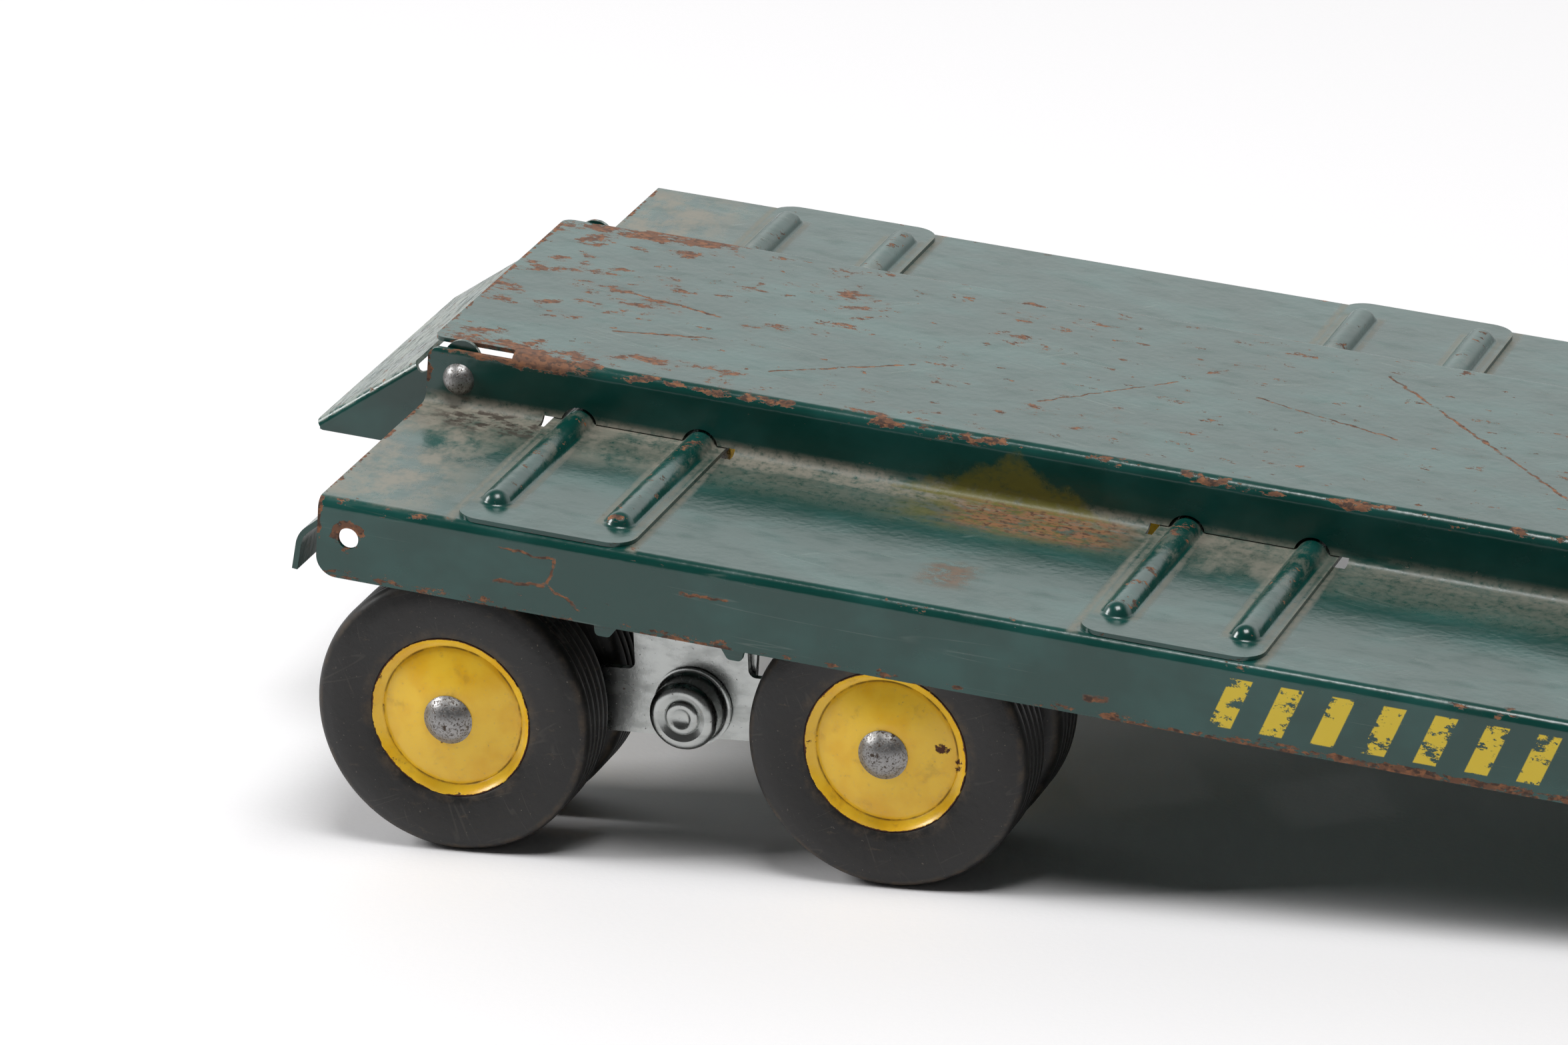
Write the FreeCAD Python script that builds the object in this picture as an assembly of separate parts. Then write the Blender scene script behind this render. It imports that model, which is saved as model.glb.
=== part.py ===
import FreeCAD, Part
import math
import os

# Pressed-steel toy machinery trailer: straight hat-section deck on two rocking tandem bogies.
# Deck parts are drawn level, with x = 0 over the bogie pivots and z = 0 on the side decks, and
# are then pitched about the pivots so that the nose stands on its legs. Bogies are drawn level.

V = FreeCAD.Vector
X_AXIS, Y_AXIS, Z_AXIS = V(1, 0, 0), V(0, 1, 0), V(0, 0, 1)

# ---- driving dimensions, millimetres and degrees ----
SHEET = 1.1                 # gauge of the green pressings
DECK_LENGTH = 560.0
DECK_WIDTH = 248.0
DECK_REAR = -90.0           # rear edge, measured from the bogie pivots
CENTRE_WIDTH = 102.6        # raised centre of the deck
CENTRE_RISE = 15.6
FLANGE_DEPTH = 19.9
EDGE_BEND = 2.6             # outside radius of the flange bend
CREST_BEND = 3.0            # outside radius at the top of the walls
ROOT_BEND = 2.4             # radius where the walls meet the side decks
FLANGE_CORNER = 5.2
FLANGE_HOLE_R = 2.65
FLANGE_HOLE_X = 8.0         # from the rear edge
FLANGE_HOLE_Z = -9.3
DECK_PITCH = 6.2            # nose-down angle when the trailer stands on its own

PLATE_COUNT = 4
PLATE_FIRST_X = -34.0
PLATE_FRONT_GAP = 36.0      # last plate's middle from the deck's front
PLATE_LENGTH = 45.0
PLATE_CORNER = 6.5
PLATE_EDGE_GAP = 1.6        # plate end to the flange face
RIB_SPACING = 31.5
RIB_R = 3.9
RIB_ROOT = 1.3
RIB_LIFT = 0.2              # rib's centre line above the side deck
RIB_SKIRT = 0.6             # flat strip past a rib's root
RIB_END_GAP = 9.5           # rib end to the flange face
RIB_AIR = 0.8               # air over a rib in its wall notch
SLOT_SIDE_GAP = 2.5         # plate edge to the end of its slot
SLOT_REACH = 4.0            # slot's reach into the side deck

EAR_SLOT_LENGTH = 21.8
EAR_SLOT_WIDTH = 3.9
EAR_SLOT_SILL = 14.0
WALL_CORNER = 2.6

RAMP_LENGTH = 32.0
RAMP_DROP = 38.0            # slope of the ramp plate below the deck at rest
RAMP_PIN_X = 8.3            # hinge pin from the rear edge
RAMP_PIN_Z = 6.8
RAMP_EDGE_X = -4.5          # top of the ramp plate from the rear edge
RAMP_EDGE_Z = 8.1
RAMP_SIDE_GAP = 1.2
RAMP_BEND = 2.2
RAMP_LIP = 2.6
EAR_R = 4.8
EAR_RISE = 4.6              # how far the ear reaches up from the hinge pin
RAMP_HEEL_X = -8.0          # forward end of the level lower edge, from the rear edge
RAMP_HEEL_Z = -13.9
PIN_R = 2.0
PIN_HEAD_R = 4.1
PIN_HEAD_H = 2.9
PIN_TAIL_R = 3.4
PIN_TAIL_H = 1.5

RAIL_SHEET = 1.4
RAIL_BEND = 7.0
RAIL_GAP = 0.4              # rail ends to the flange bend and to the wall

TYRE_R = 35.0
TYRE_WIDTH = 19.0
TYRE_BORE_R = 17.5
GROOVE_COUNT = 4
GROOVE_WIDTH = 1.1
GROOVE_DEPTH = 1.0
SHOULDER_R = 3.4
HUB_R = 20.4
HUB_SHEET = 0.9
HUB_CREASE_R = 17.8
HUB_CROWN = 0.7             # disc's middle, proud of the tyre's face
HUB_CREASE_DEPTH = 2.2
HUB_RIM_DEPTH = 0.4
HUB_FLAT_R = 7.0
HUB_SLEEVE_R = 4.4
WHEELBASE = 110.5
WHEEL_FACE_IN = 2.7         # outer wheel face, in from the deck's side
DUAL_STEP = 27.5            # outer wheel face to inner wheel face
AXLE_R = 2.5
AXLE_HEAD_R = 6.2
AXLE_HEAD_H = 3.4
AXLE_TAIL = 3.0
RUN_FIT = 0.07              # radial clearance of a turning fit
PRESS_FIT = 0.03            # radial clearance where nothing turns

WHEEL_AIR = 11.2            # side decks above the tyres' tops, over the bogie pivots
BEAM_SHEET = 2.0
BEAM_HALF = 8.2
BEAM_IN = 20.8              # beam's outer face, in from the outer wheel's face
UPSTAND_WIDTH = 29.0
UPSTAND_TOP = 26.0
UPSTAND_ROOT = 2.0
PIVOT_R = 3.0
CAP_R = 8.6
CAP_RIM_R = 9.9
CAP_LENGTH = 9.0
CAP_SHEET = 0.9
SIDE_AIR = 0.4              # sideways air between neighbours that turn
HANGER_SHEET = 2.0
HANGER_FOOT = 14.0
HANGER_BEND = 3.5
STRAP_SPAN = 44.0
STRAP_TOE = 7.0
STRAP_SHOW = 3.0            # how far the toes hang below the flange

LEG_FRONT_GAP = 40.0        # leg's middle from the deck's front
LEG_WIDTH = 24.0
LEG_SHEET = 1.6
RIVET_R = 1.6
RIVET_HEAD_R = 3.2
RIVET_HEAD_H = 1.6
NECK_WIDTH = 90.0
NECK_SHEET = 1.6
NECK_OVERLAP = 84.0
NECK_LENGTH = 176.0
NECK_RISE = 38.0
NECK_RUN = 44.0             # length of the sloping stretch
NECK_CHEEK = 22.0
NECK_BEND = 9.0
COUPLER_R = 32.0
COUPLER_SHEET = 2.0
KING_PIN_R = 4.0
KING_PIN_SPIGOT_R = 3.2     # where it passes through the nose
KING_PIN_RELIEF = 0.3       # spigot shown below the rubbing plate
KING_PIN_HEAD_R = 6.8
KING_PIN_HEAD_H = 2.4
KING_PIN_LENGTH = 14.0
KING_PIN_TIP = 0.8          # chamfer
KING_PIN_BACK = 40.0        # king pin behind the nose
APRON_GAP = 0.2

# ---- values that follow ----
PIVOT_DROP = TYRE_R + WHEEL_AIR     # bogie pivots below the side decks
HALF_WIDTH = DECK_WIDTH / 2
WALL_Y = CENTRE_WIDTH / 2
DECK_FRONT = DECK_REAR + DECK_LENGTH
PLATE_PITCH = (DECK_FRONT - PLATE_FRONT_GAP - PLATE_FIRST_X) / (PLATE_COUNT - 1)
LEG_X = DECK_FRONT - LEG_FRONT_GAP
WHEEL_Y = HALF_WIDTH - WHEEL_FACE_IN
BEAM_Y = WHEEL_Y - BEAM_IN
INNER_WHEEL_Y = WHEEL_Y - DUAL_STEP
HANGER_Y = BEAM_Y - BEAM_SHEET - SIDE_AIR
RAMP_PIN = V(DECK_REAR + RAMP_PIN_X, 0, RAMP_PIN_Z)
RAMP_EDGE = V(DECK_REAR + RAMP_EDGE_X, 0, RAMP_EDGE_Z)
RAMP_Y = WALL_Y - SHEET - RAMP_SIDE_GAP
NOSE_X = DECK_FRONT + NECK_LENGTH
KING_PIN_X = NOSE_X - KING_PIN_BACK
NECK_TOP = CENTRE_RISE + NECK_SHEET + NECK_RISE
SIDES = (("near", -1), ("far", 1))
ENDS = (("rear", -1), ("front", 1))


# ---- drawing helpers ----
def path_edges(points, radii):
    """Straight runs through the points, with a tangent arc of the given radius at each corner."""
    edges = []
    start = points[0]
    for before, corner, after, radius in zip(points, points[1:], points[2:], radii):
        back = (before - corner).normalize()
        ahead = (after - corner).normalize()
        half = back.getAngle(ahead) / 2
        reach = radius / math.tan(half)
        centre = corner + (back + ahead).normalize() * (radius / math.sin(half))
        middle = centre + (corner - centre).normalize() * radius
        edges.append(Part.LineSegment(start, corner + back * reach).toShape())
        edges.append(Part.Arc(corner + back * reach, middle, corner + ahead * reach).toShape())
        start = corner + ahead * reach
    edges.append(Part.LineSegment(start, points[-1]).toShape())
    return edges


def offset_points(points, distance, normal):
    """The same polyline moved to its left, as seen against the normal."""
    runs = [(b - a).normalize() for a, b in zip(points, points[1:])]
    lefts = [normal.cross(run) for run in runs]
    moved = [points[0] + lefts[0] * distance]
    for corner, left, right in zip(points[1:], lefts, lefts[1:]):
        both = left + right
        moved.append(corner + both * (2 * distance / both.dot(both)))
    moved.append(points[-1] + lefts[-1] * distance)
    return moved


def bent_sheet(points, radii, gauge, normal, sweep):
    """A folded sheet: its outer line, with the gauge to the right of it, swept along a vector."""
    inner = offset_points(points, -gauge, normal)
    inner_radii = []
    for before, corner, after, radius in zip(points, points[1:], points[2:], radii):
        turns_left = (corner - before).cross(after - corner).dot(normal) > 0
        inner_radii.append(radius + gauge if turns_left else radius - gauge)
    edges = path_edges(points, radii)
    edges.append(Part.LineSegment(points[-1], inner[-1]).toShape())
    edges += path_edges(inner[::-1], inner_radii[::-1])
    edges.append(Part.LineSegment(inner[0], points[0]).toShape())
    return Part.Face(Part.Wire(edges)).extrude(sweep)


def prism(points, radii, sweep):
    """A closed outline with rounded corners, swept along a vector. The first point stays sharp."""
    edges = path_edges(points + [points[0]], radii)
    return Part.Face(Part.Wire(edges)).extrude(sweep)


def box(low, high):
    """An upright box between two corners."""
    return Part.makeBox(high.x - low.x, high.y - low.y, high.z - low.z, low)


def y_rod(radius, x, z, low_y, high_y):
    """A round bar along Y."""
    return Part.makeCylinder(radius, high_y - low_y, V(x, low_y, z), Y_AXIS)


def dome(radius, height, base, direction):
    """A spherical cap that rises from a flat base."""
    ball_r = (radius * radius + height * height) / (2 * height)
    ball = Part.makeSphere(ball_r, base + direction * (height - ball_r))
    return ball.common(Part.makeCylinder(radius, height, base, direction))


def corner_cut(corner, inward_a, inward_b, radius, sweep):
    """The waste outside a rounded corner, swept along a vector."""
    a = corner + inward_a * radius
    b = corner + inward_b * radius
    middle = corner + (inward_a + inward_b) * (radius * (1 - math.sqrt(0.5)))
    out = (inward_a + inward_b) * -radius
    outline = [Part.Arc(a, middle, b).toShape(), Part.LineSegment(b, b + out).toShape(),
               Part.LineSegment(b + out, a + out).toShape(), Part.LineSegment(a + out, a).toShape()]
    return Part.Face(Part.Wire(outline)).extrude(sweep)


def both_sides(shape):
    """A shape together with its mirror image across the centre plane."""
    return [shape, shape.mirror(V(0, 0, 0), Y_AXIS)]


def for_side(shape, side):
    """A shape drawn for the far side (+Y), or its mirror image on the near side."""
    return shape if side > 0 else shape.mirror(V(0, 0, 0), Y_AXIS)


def pitched(shape):
    """A deck part, brought from the level drawing to where it stands."""
    placed = shape.copy()
    placed.translate(V(0, 0, PIVOT_DROP))
    placed.rotate(V(0, 0, 0), Y_AXIS, DECK_PITCH)
    placed.translate(V(0, 0, TYRE_R))
    return placed


def plate_centres():
    """The x of each cross plate."""
    return [PLATE_FIRST_X + PLATE_PITCH * i for i in range(PLATE_COUNT)]


# ---- deck ----
def plate_notch(x):
    """What one far-side wall and side deck lose around a cross plate."""
    half = PLATE_LENGTH / 2 + SLOT_SIDE_GAP
    inside = WALL_Y - EAR_SLOT_WIDTH
    notch = box(V(x - half, inside, -2 * SHEET), V(x + half, WALL_Y + SLOT_REACH, SHEET + 0.3))
    for step in (-0.5, 0.5):
        rib_x = x + RIB_SPACING * step
        notch = notch.fuse(y_rod(RIB_R + RIB_AIR, rib_x, RIB_LIFT, inside, WALL_Y + SLOT_REACH))
    return notch


def ear_slot():
    """The far-side slot that lets the ramp's ear swing up through the crest."""
    inside = WALL_Y - EAR_SLOT_WIDTH
    front = DECK_REAR + EAR_SLOT_LENGTH
    tall = CENTRE_RISE + SHEET
    slot = box(V(DECK_REAR - SHEET, inside, EAR_SLOT_SILL), V(front, WALL_Y + SHEET, tall))
    slot = slot.cut(corner_cut(V(front, inside, 0), -X_AXIS, Y_AXIS, 1.2, V(0, 0, tall)))
    wall = corner_cut(V(DECK_REAR, inside, EAR_SLOT_SILL), X_AXIS, -Z_AXIS, WALL_CORNER,
                      V(0, EAR_SLOT_WIDTH + SHEET, 0))
    crest = corner_cut(V(DECK_REAR, inside, EAR_SLOT_SILL), X_AXIS, -Y_AXIS, WALL_CORNER,
                       V(0, 0, CENTRE_RISE))
    return slot.fuse([wall, crest])


def deck_sheet():
    """The hat-section deck, with its slots, holes and rounded flange corners."""
    half = [(HALF_WIDTH, -FLANGE_DEPTH), (HALF_WIDTH, 0), (WALL_Y, 0), (WALL_Y, CENTRE_RISE)]
    outline = [V(DECK_REAR, -y, z) for y, z in half] + [V(DECK_REAR, y, z) for y, z in half[::-1]]
    bends = [EDGE_BEND, ROOT_BEND, CREST_BEND]
    deck = bent_sheet(outline, bends + bends[::-1], SHEET, X_AXIS, V(DECK_LENGTH, 0, 0))
    across = V(0, DECK_WIDTH + 2, 0)
    waste = []
    for x, inward in ((DECK_REAR, X_AXIS), (DECK_FRONT, -X_AXIS)):
        corner = V(x, -HALF_WIDTH - 1, -FLANGE_DEPTH)
        waste.append(corner_cut(corner, inward, Z_AXIS, FLANGE_CORNER, across))
    hole_x = DECK_REAR + FLANGE_HOLE_X
    waste.append(y_rod(FLANGE_HOLE_R, hole_x, FLANGE_HOLE_Z, -HALF_WIDTH - 1, HALF_WIDTH + 1))
    waste.append(y_rod(PIN_R + PRESS_FIT, RAMP_PIN.x, RAMP_PIN.z, -WALL_Y - 1, WALL_Y + 1))
    waste += [y_rod(RIVET_R + PRESS_FIT, x, z, -HALF_WIDTH - 1, HALF_WIDTH + 1)
              for x, z in leg_rivet_places()]
    waste += [Part.makeCylinder(RIVET_R + PRESS_FIT, CENTRE_RISE, p) for p in neck_rivet_places()]
    waste += both_sides(ear_slot())
    for x in plate_centres():
        waste += both_sides(plate_notch(x))
    return deck.cut(waste)


def rib_face():
    """Half of a rib's cross-section, from its crest to its skirt, at y = 0."""
    centre = V(0, 0, RIB_LIFT)
    root_z = SHEET + RIB_ROOT
    root_x = math.sqrt((RIB_R + RIB_ROOT) ** 2 - (root_z - centre.z) ** 2)
    root = V(root_x, 0, root_z)
    lean = math.atan2(root_z - centre.z, root_x)
    skirt_x = root_x + RIB_SKIRT

    def crest(radius, angle):
        return centre + V(math.cos(angle), 0, math.sin(angle)) * radius

    def valley(radius, angle):
        return root - V(math.cos(angle), 0, math.sin(angle)) * radius

    right = math.pi / 2
    edges = [
        Part.Arc(crest(RIB_R, right), crest(RIB_R, (right + lean) / 2), crest(RIB_R, lean)),
        Part.Arc(valley(RIB_ROOT, lean), valley(RIB_ROOT, (right + lean) / 2),
                 valley(RIB_ROOT, right)),
        Part.LineSegment(V(root_x, 0, SHEET), V(skirt_x, 0, SHEET)),
        Part.LineSegment(V(skirt_x, 0, SHEET), V(skirt_x, 0, 0)),
        Part.LineSegment(V(skirt_x, 0, 0), V(root_x, 0, 0)),
        Part.Arc(valley(RIB_ROOT + SHEET, right), valley(RIB_ROOT + SHEET, (right + lean) / 2),
                 valley(RIB_ROOT + SHEET, lean)),
        Part.Arc(crest(RIB_R - SHEET, lean), crest(RIB_R - SHEET, (right + lean) / 2),
                 crest(RIB_R - SHEET, right)),
        Part.LineSegment(crest(RIB_R - SHEET, right), crest(RIB_R, right)),
    ]
    return Part.Face(Part.Wire([edge.toShape() for edge in edges])), skirt_x


def rib(x, half_length):
    """A hollow half-round rib with rounded ends, and the hole that it fills in its plate."""
    half_face, skirt_x = rib_face()
    straight = half_length - skirt_x
    half_run = half_face.extrude(V(0, 2 * straight, 0))
    half_run.translate(V(0, -straight, 0))
    end = half_face.revolve(V(0, 0, 0), Z_AXIS, 180)
    end.translate(V(0, straight, 0))
    pieces = [half_run, half_run.mirror(V(0, 0, 0), X_AXIS), end, end.mirror(V(0, 0, 0), Y_AXIS)]
    solid = pieces[0].fuse(pieces[1:]).removeSplitter()
    hole = box(V(-skirt_x, -straight, -1), V(skirt_x, straight, SHEET + 1))
    ends = [Part.makeCylinder(skirt_x, SHEET + 2, V(0, y, -1)) for y in (-straight, straight)]
    hole = hole.fuse(ends)
    for shape in (solid, hole):
        shape.translate(V(x, 0, 0))
    return solid, hole


def cross_plate(x):
    """One ribbed plate that lies across both side decks and runs through the walls."""
    a, b = PLATE_LENGTH / 2, HALF_WIDTH - PLATE_EDGE_GAP
    start = V(x, -b, 0)
    corners = [V(x + a, -b, 0), V(x + a, b, 0), V(x - a, b, 0), V(x - a, -b, 0)]
    plate = prism([start] + corners, [PLATE_CORNER] * 4, V(0, 0, SHEET))
    for step in (-0.5, 0.5):
        solid, hole = rib(x + RIB_SPACING * step, HALF_WIDTH - RIB_END_GAP)
        plate = plate.cut(hole).fuse(solid)
    return plate.removeSplitter()


def flange_strap():
    """A doubling strap inside the far flange, over the bogie, with two toes that hang below it."""
    half, toe, top = STRAP_SPAN / 2, STRAP_TOE, -EDGE_BEND - 1
    low, mid = -FLANGE_DEPTH - STRAP_SHOW, -FLANGE_DEPTH + 2
    y = HALF_WIDTH - SHEET
    points = [V(0, y, top), V(half, y, top), V(half - toe / 2, y, low), V(half - toe, y, low),
              V(half - toe * 1.5, y, mid), V(-half + toe * 1.5, y, mid), V(-half + toe, y, low),
              V(-half + toe / 2, y, low), V(-half, y, top)]
    return prism(points, [2, 1.2, 1.2, 2, 2, 1.2, 1.2, 2], V(0, -SHEET, 0))


def rear_rail():
    """The curled strip below the rear edge of the far side deck."""
    top = -SHEET
    points = [V(DECK_REAR + 20, 0, top), V(DECK_REAR + 5.5, 0, top), V(DECK_REAR - 6.2, 0, -11.5),
              V(DECK_REAR - 7.2, 0, -20.8)]
    low_y, high_y = WALL_Y + RAIL_GAP, HALF_WIDTH - EDGE_BEND - RAIL_GAP
    rail = bent_sheet(points, [3.0, RAIL_BEND], RAIL_SHEET, Y_AXIS, V(0, high_y - low_y, 0))
    rail.translate(V(0, low_y, 0))
    return rail


def front_apron():
    """The plate that closes the deck's front end from below."""
    wall, side = WALL_Y - SHEET - APRON_GAP, HALF_WIDTH - SHEET - APRON_GAP
    top, step, low = CENTRE_RISE - SHEET - APRON_GAP, -SHEET - APRON_GAP, -FLANGE_DEPTH
    points = [V(DECK_FRONT, y, z) for y, z in (
        (0, low), (side, low), (side, step), (wall, step), (wall, top),
        (-wall, top), (-wall, step), (-side, step), (-side, low))]
    return prism(points, [4, 2, 3, 2, 2, 3, 2, 4], V(-SHEET, 0, 0))


# ---- ramp ----
def ramp_frame():
    """Unit vectors along the ramp plate (up its slope) and out of its top."""
    slope = math.radians(RAMP_DROP)
    return V(math.cos(slope), 0, math.sin(slope)), V(-math.sin(slope), 0, math.cos(slope))


def ramp_side_outline(y, sweep):
    """The ramp's cheek, seen from the side, with its round hinge ear."""
    along, out = ramp_frame()
    tip = RAMP_EDGE - along * RAMP_LENGTH
    heel = V(DECK_REAR + RAMP_HEEL_X, 0, RAMP_HEEL_Z)
    toe = V(tip.x + 1.2, 0, heel.z)
    notch = RAMP_EDGE - out * 3.0
    ear_low = RAMP_PIN + V(EAR_R * 0.6, 0, -EAR_R * 0.7)
    ear_back = RAMP_PIN + V(-EAR_R * 0.8, 0, EAR_RISE * 0.5)
    cheek = prism([RAMP_EDGE, tip, toe, heel, ear_low, RAMP_PIN, ear_back, notch],
                  [1.2, 1.6, 5.0, 1.0, 1.0, 1.0, 1.0], sweep)
    top = RAMP_PIN + V(0, 0, EAR_RISE)
    ears = [Part.makeCylinder(EAR_R, sweep.Length, centre, sweep) for centre in (RAMP_PIN, top)]
    ears.append(box(RAMP_PIN - V(EAR_R, 0, 0), top + V(EAR_R, sweep.Length, 0)))
    shape = cheek.fuse(ears)
    shape.translate(V(0, y, 0))
    return shape


def ramp():
    """The hinged rear ramp: a folded plate, two cheeks with ears, and a turned-down tip."""
    along, out = ramp_frame()
    side = V(0, RAMP_Y, 0)
    deep = out * -45
    tip = RAMP_EDGE - along * RAMP_LENGTH
    section = [tip - side + deep, tip - side, tip + side, tip + side + deep]
    channel = bent_sheet(section, [RAMP_BEND] * 2, SHEET, along, along * RAMP_LENGTH)
    channel = channel.common(ramp_side_outline(-RAMP_Y, V(0, 2 * RAMP_Y, 0)))
    cheek = ramp_side_outline(RAMP_Y - SHEET, V(0, SHEET, 0))
    bend_zone = bent_zone(tip, along, out)
    cheek = cheek.cut(bend_zone)
    ends = RAMP_Y - RAMP_BEND
    lip_low = tip + V(0, -ends, 0)
    lip = Part.Face(Part.makePolygon([lip_low, lip_low + along * SHEET,
                                      lip_low + along * SHEET - out * RAMP_LIP,
                                      lip_low - out * RAMP_LIP, lip_low])).extrude(V(0, 2 * ends, 0))
    lip = lip.common(ramp_side_outline(-RAMP_Y, V(0, 2 * RAMP_Y, 0)))
    body = channel.fuse(both_sides(cheek) + [lip]).removeSplitter()
    return body.cut(y_rod(PIN_R + RUN_FIT, RAMP_PIN.x, RAMP_PIN.z, -WALL_Y, WALL_Y))


def bent_zone(tip, along, out):
    """The stretch of the far cheek that the channel's bend replaces."""
    a = tip - along * 10
    b = RAMP_EDGE
    points = [a + out * 10, b + out * 10, b - out * RAMP_BEND, a - out * RAMP_BEND]
    points = [p + V(0, RAMP_Y - SHEET - 1, 0) for p in points]
    return Part.Face(Part.makePolygon(points + points[:1])).extrude(V(0, SHEET + 2, 0))


def ramp_pin():
    """The far hinge pin: domed head outside the wall, shank through wall and ear, set tail."""
    x, z = RAMP_PIN.x, RAMP_PIN.z
    tail_y = RAMP_Y - SHEET - SIDE_AIR
    head = dome(PIN_HEAD_R, PIN_HEAD_H, V(x, WALL_Y, z), Y_AXIS)
    shank = y_rod(PIN_R, x, z, tail_y, WALL_Y)
    tail = dome(PIN_TAIL_R, PIN_TAIL_H, V(x, tail_y, z), -Y_AXIS)
    return head.fuse([shank, tail])


# ---- bogies, drawn level and centred on x = 0, z = TYRE_R ----
def turned_edges(edges, x, y, side):
    """Edges drawn as (depth, radius) in the xy plane, turned about the axle at x."""
    face = Part.Face(Part.Wire([edge.toShape() for edge in edges]))
    solid = face.revolve(V(0, 0, 0), X_AXIS, 360)
    solid.rotate(V(0, 0, 0), Z_AXIS, -90)
    solid.translate(V(x, y, TYRE_R))
    return for_side(solid, side)


def run(*points):
    """Straight edges through (depth, radius) points."""
    return [Part.LineSegment(V(*a, 0), V(*b, 0)) for a, b in zip(points, points[1:])]


def arc(a, middle, b):
    """An edge through three (depth, radius) points."""
    return [Part.Arc(V(*a, 0), V(*middle, 0), V(*b, 0))]


def tyre(x, y, side):
    """A rubber tyre with bulged walls, round shoulders and grooves round the tread."""
    width, bead = TYRE_WIDTH, HUB_R + 0.1
    mid_r = (bead + TYRE_R) / 2
    shoulder = TYRE_R - SHOULDER_R * 0.8
    drop = SHOULDER_R * 0.28
    lip, seat = 0.3, HUB_CREASE_DEPTH + HUB_SHEET + 0.3
    tread_a, tread_b = SHOULDER_R, width - SHOULDER_R
    edges = run((seat, TYRE_BORE_R), (seat, bead), (lip, bead))
    edges += arc((lip, bead), (-0.5, mid_r), (lip, shoulder))
    edges += arc((lip, shoulder), (lip + drop, TYRE_R - SHOULDER_R * 0.25), (tread_a, TYRE_R))
    points = [(tread_a, TYRE_R)]
    pitch = (tread_b - tread_a) / GROOVE_COUNT
    for i in range(GROOVE_COUNT):
        middle = tread_a + pitch * (i + 0.5)
        a, b = middle - GROOVE_WIDTH / 2, middle + GROOVE_WIDTH / 2
        low = TYRE_R - GROOVE_DEPTH
        points += [(a, TYRE_R), (a + 0.2, low), (b - 0.2, low), (b, TYRE_R)]
    points.append((tread_b, TYRE_R))
    edges += run(*points)
    back = width - lip
    edges += arc((tread_b, TYRE_R), (back - drop, TYRE_R - SHOULDER_R * 0.25), (back, shoulder))
    edges += arc((back, shoulder), (width + 0.5, mid_r), (back, bead))
    edges += run((back, bead), (width - seat, bead), (width - seat, TYRE_BORE_R), (seat, TYRE_BORE_R))
    return turned_edges(edges, x, y, side)


def hub_face(front):
    """One crowned disc face, from the bore out to the rolled rim: (depth, radius) edges."""
    crown, crease, rim = -HUB_CROWN, HUB_CREASE_R, HUB_R
    swell = (HUB_CREASE_DEPTH + crown) / 2 - 0.25
    middle_r = (HUB_FLAT_R + crease) / 2
    rim_back = HUB_RIM_DEPTH + HUB_SHEET + 0.6

    def at(depth, radius):
        return (depth if front else TYRE_WIDTH - depth, radius)

    def inner(depth, radius):
        return at(depth + HUB_SHEET, radius)

    edges = run(at(crown, AXLE_R + PRESS_FIT), at(crown, HUB_FLAT_R))
    edges += arc(at(crown, HUB_FLAT_R), at(swell, middle_r), at(HUB_CREASE_DEPTH, crease))
    edges += run(at(HUB_CREASE_DEPTH, crease), at(HUB_RIM_DEPTH + 0.3, rim - 0.5))
    edges += arc(at(HUB_RIM_DEPTH + 0.3, rim - 0.5), at(HUB_RIM_DEPTH + 0.05, rim - 0.2),
                 at(HUB_RIM_DEPTH + 0.2, rim))
    edges += run(at(HUB_RIM_DEPTH + 0.2, rim), at(rim_back, rim), at(rim_back, rim - 0.5),
                 inner(HUB_CREASE_DEPTH, crease))
    edges += arc(inner(HUB_CREASE_DEPTH, crease), inner(swell, middle_r), inner(crown, HUB_FLAT_R))
    edges += run(inner(crown, HUB_FLAT_R), inner(crown, HUB_SLEEVE_R))
    return edges


def hub(x, y, side):
    """A wheel centre: two crowned faces with rolled rims, joined by a sleeve on the axle."""
    front, back = hub_face(True), hub_face(False)
    depth = HUB_SHEET - HUB_CROWN
    sleeve = run((depth, HUB_SLEEVE_R), (TYRE_WIDTH - depth, HUB_SLEEVE_R))
    bore = run((TYRE_WIDTH + HUB_CROWN, AXLE_R + PRESS_FIT), (-HUB_CROWN, AXLE_R + PRESS_FIT))
    return turned_edges(front + sleeve + back[::-1] + bore, x, y, side)


def wheel_axle(x, side):
    """A wheel axle: domed head in the outer hub, shank through both hubs, small set tail."""
    head_y = WHEEL_Y + HUB_CROWN
    tail_y = INNER_WHEEL_Y - TYRE_WIDTH - HUB_CROWN
    head = dome(AXLE_HEAD_R, AXLE_HEAD_H, V(x, head_y, TYRE_R), Y_AXIS)
    shank = y_rod(AXLE_R, x, TYRE_R, tail_y, head_y)
    tail = dome(AXLE_HEAD_R - 1.5, AXLE_TAIL, V(x, tail_y, TYRE_R), -Y_AXIS)
    return for_side(head.fuse([shank, tail]), side)


def spacers(x, side):
    """The two tubes that keep a pair of wheels off the beam."""
    bore, wall = AXLE_R + PRESS_FIT, HUB_SLEEVE_R
    outer = (WHEEL_Y - TYRE_WIDTH - HUB_CROWN, BEAM_Y + SIDE_AIR)
    inner = (BEAM_Y - BEAM_SHEET - SIDE_AIR, INNER_WHEEL_Y + HUB_CROWN)
    tubes = []
    for high, low in (outer, inner):
        tube = y_rod(wall, x, TYRE_R, low, high).cut(y_rod(bore, x, TYRE_R, low - 1, high + 1))
        tubes.append(for_side(tube, side))
    return Part.makeCompound(tubes)


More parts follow.
